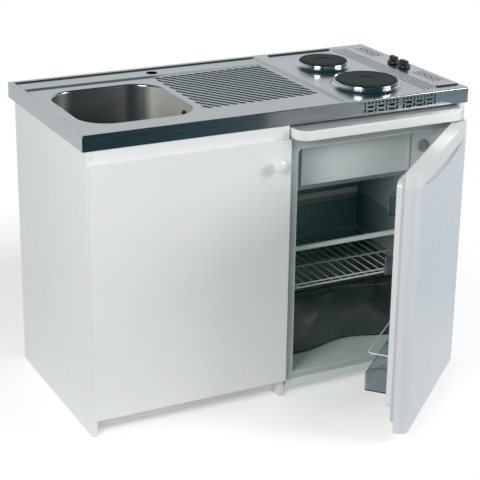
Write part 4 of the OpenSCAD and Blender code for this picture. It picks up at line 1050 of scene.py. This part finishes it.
def world_ramp(nt, source, low, high, start, end, smooth=True):
    """Value from low to high as source goes from start to end."""
    n = add_node(nt, "ShaderNodeMapRange", **{"From Min": start, "From Max": end,
                                              "To Min": low, "To Max": high})
    if smooth:
        n.interpolation_type = "SMOOTHSTEP"
    nt.links.new(source, n.inputs["Value"])
    return n.outputs["Result"]


def world_product(nt, a, b):
    """Product of two values."""
    n = add_node(nt, "ShaderNodeMath", operation="MULTIPLY")
    nt.links.new(a, n.inputs[0])
    nt.links.new(b, n.inputs[1])
    return n.outputs[0]


def world_mix(nt, share, low, high):
    """Colour from low, a colour or a socket, to the colour high."""
    n = add_node(nt, "ShaderNodeMix", data_type="RGBA")
    nt.links.new(share, n.inputs[0])
    if isinstance(low, tuple):
        n.inputs[MIX_A].default_value = (*low, 1)
    else:
        nt.links.new(low, n.inputs[MIX_A])
    n.inputs[MIX_B].default_value = (*high, 1)
    return n.outputs[MIX_RESULT]


ROOM_DARK = (0.006, 0.036, 0.044)        # before the unit and overhead
ROOM_LIGHT = (0.70, 0.735, 0.75)         # behind the unit
ROOM_SIDE = (0.33, 0.43, 0.46)           # low on the right, seen in the front band
ROOM_FILL = (0.36, 0.37, 0.375)          # even light on matt surfaces


def studio_world():
    """White background, over a room that is dark before the unit and light behind it."""
    w = bpy.data.worlds.new("studio")
    bpy.context.scene.world = w
    w.use_nodes = True
    nt = w.node_tree
    nt.nodes.clear()
    path = add_node(nt, "ShaderNodeLightPath")
    coords = add_node(nt, "ShaderNodeTexCoord")
    way = add_node(nt, "ShaderNodeSeparateXYZ")
    nt.links.new(coords.outputs["Generated"], way.inputs[0])
    behind = world_ramp(nt, way.outputs["Y"], 0, 1, -0.35, 0.45)
    below_ceiling = world_ramp(nt, way.outputs["Z"], 1.0, 0.03, 0.42, 0.66)
    room = world_mix(nt, world_product(nt, behind, below_ceiling), ROOM_DARK, ROOM_LIGHT)
    right = world_ramp(nt, way.outputs["X"], 0, 1, 0.478, 0.512)
    low = world_ramp(nt, way.outputs["Z"], 1.0, 0.0, -0.22, -0.16, smooth=False)
    room = world_mix(nt, world_product(nt, right, low), room, ROOM_SIDE)
    room = world_mix(nt, path.outputs["Is Diffuse Ray"], room, ROOM_FILL)
    light = add_node(nt, "ShaderNodeBackground")
    seen = add_node(nt, "ShaderNodeBackground", Color=(1, 1, 1, 1))
    mix = add_node(nt, "ShaderNodeMixShader")
    out = add_node(nt, "ShaderNodeOutputWorld")
    nt.links.new(room, light.inputs["Color"])
    nt.links.new(path.outputs["Is Camera Ray"], mix.inputs[0])
    nt.links.new(light.outputs[0], mix.inputs[1])
    nt.links.new(seen.outputs[0], mix.inputs[2])
    nt.links.new(mix.outputs[0], out.inputs["Surface"])


LAMP_AIM = (0, 0, 0.5)


def softbox(name, at, size, watts):
    """Rectangular lamp that looks at the unit's middle."""
    d = bpy.data.lights.new(name, "AREA")
    d.shape, d.size, d.size_y = "RECTANGLE", size[0], size[1]
    d.energy = watts
    o = bpy.data.objects.new(name, d)
    bpy.context.collection.objects.link(o)
    o.location = at
    o.rotation_mode = "QUATERNION"
    o.rotation_quaternion = (Vector(LAMP_AIM) - Vector(at)).to_track_quat("-Z", "Y")


def studio():
    """Floor, room, two lamps and the plain view settings."""
    studio_floor()
    studio_world()
    softbox("box_left", (-2.6, -1.95, 1.9), (1.4, 1.4), 54)
    softbox("box_right", (2.5, -2.15, 1.95), (1.4, 1.3), 52)
    bpy.context.scene.view_settings.view_transform = "Standard"


studio()
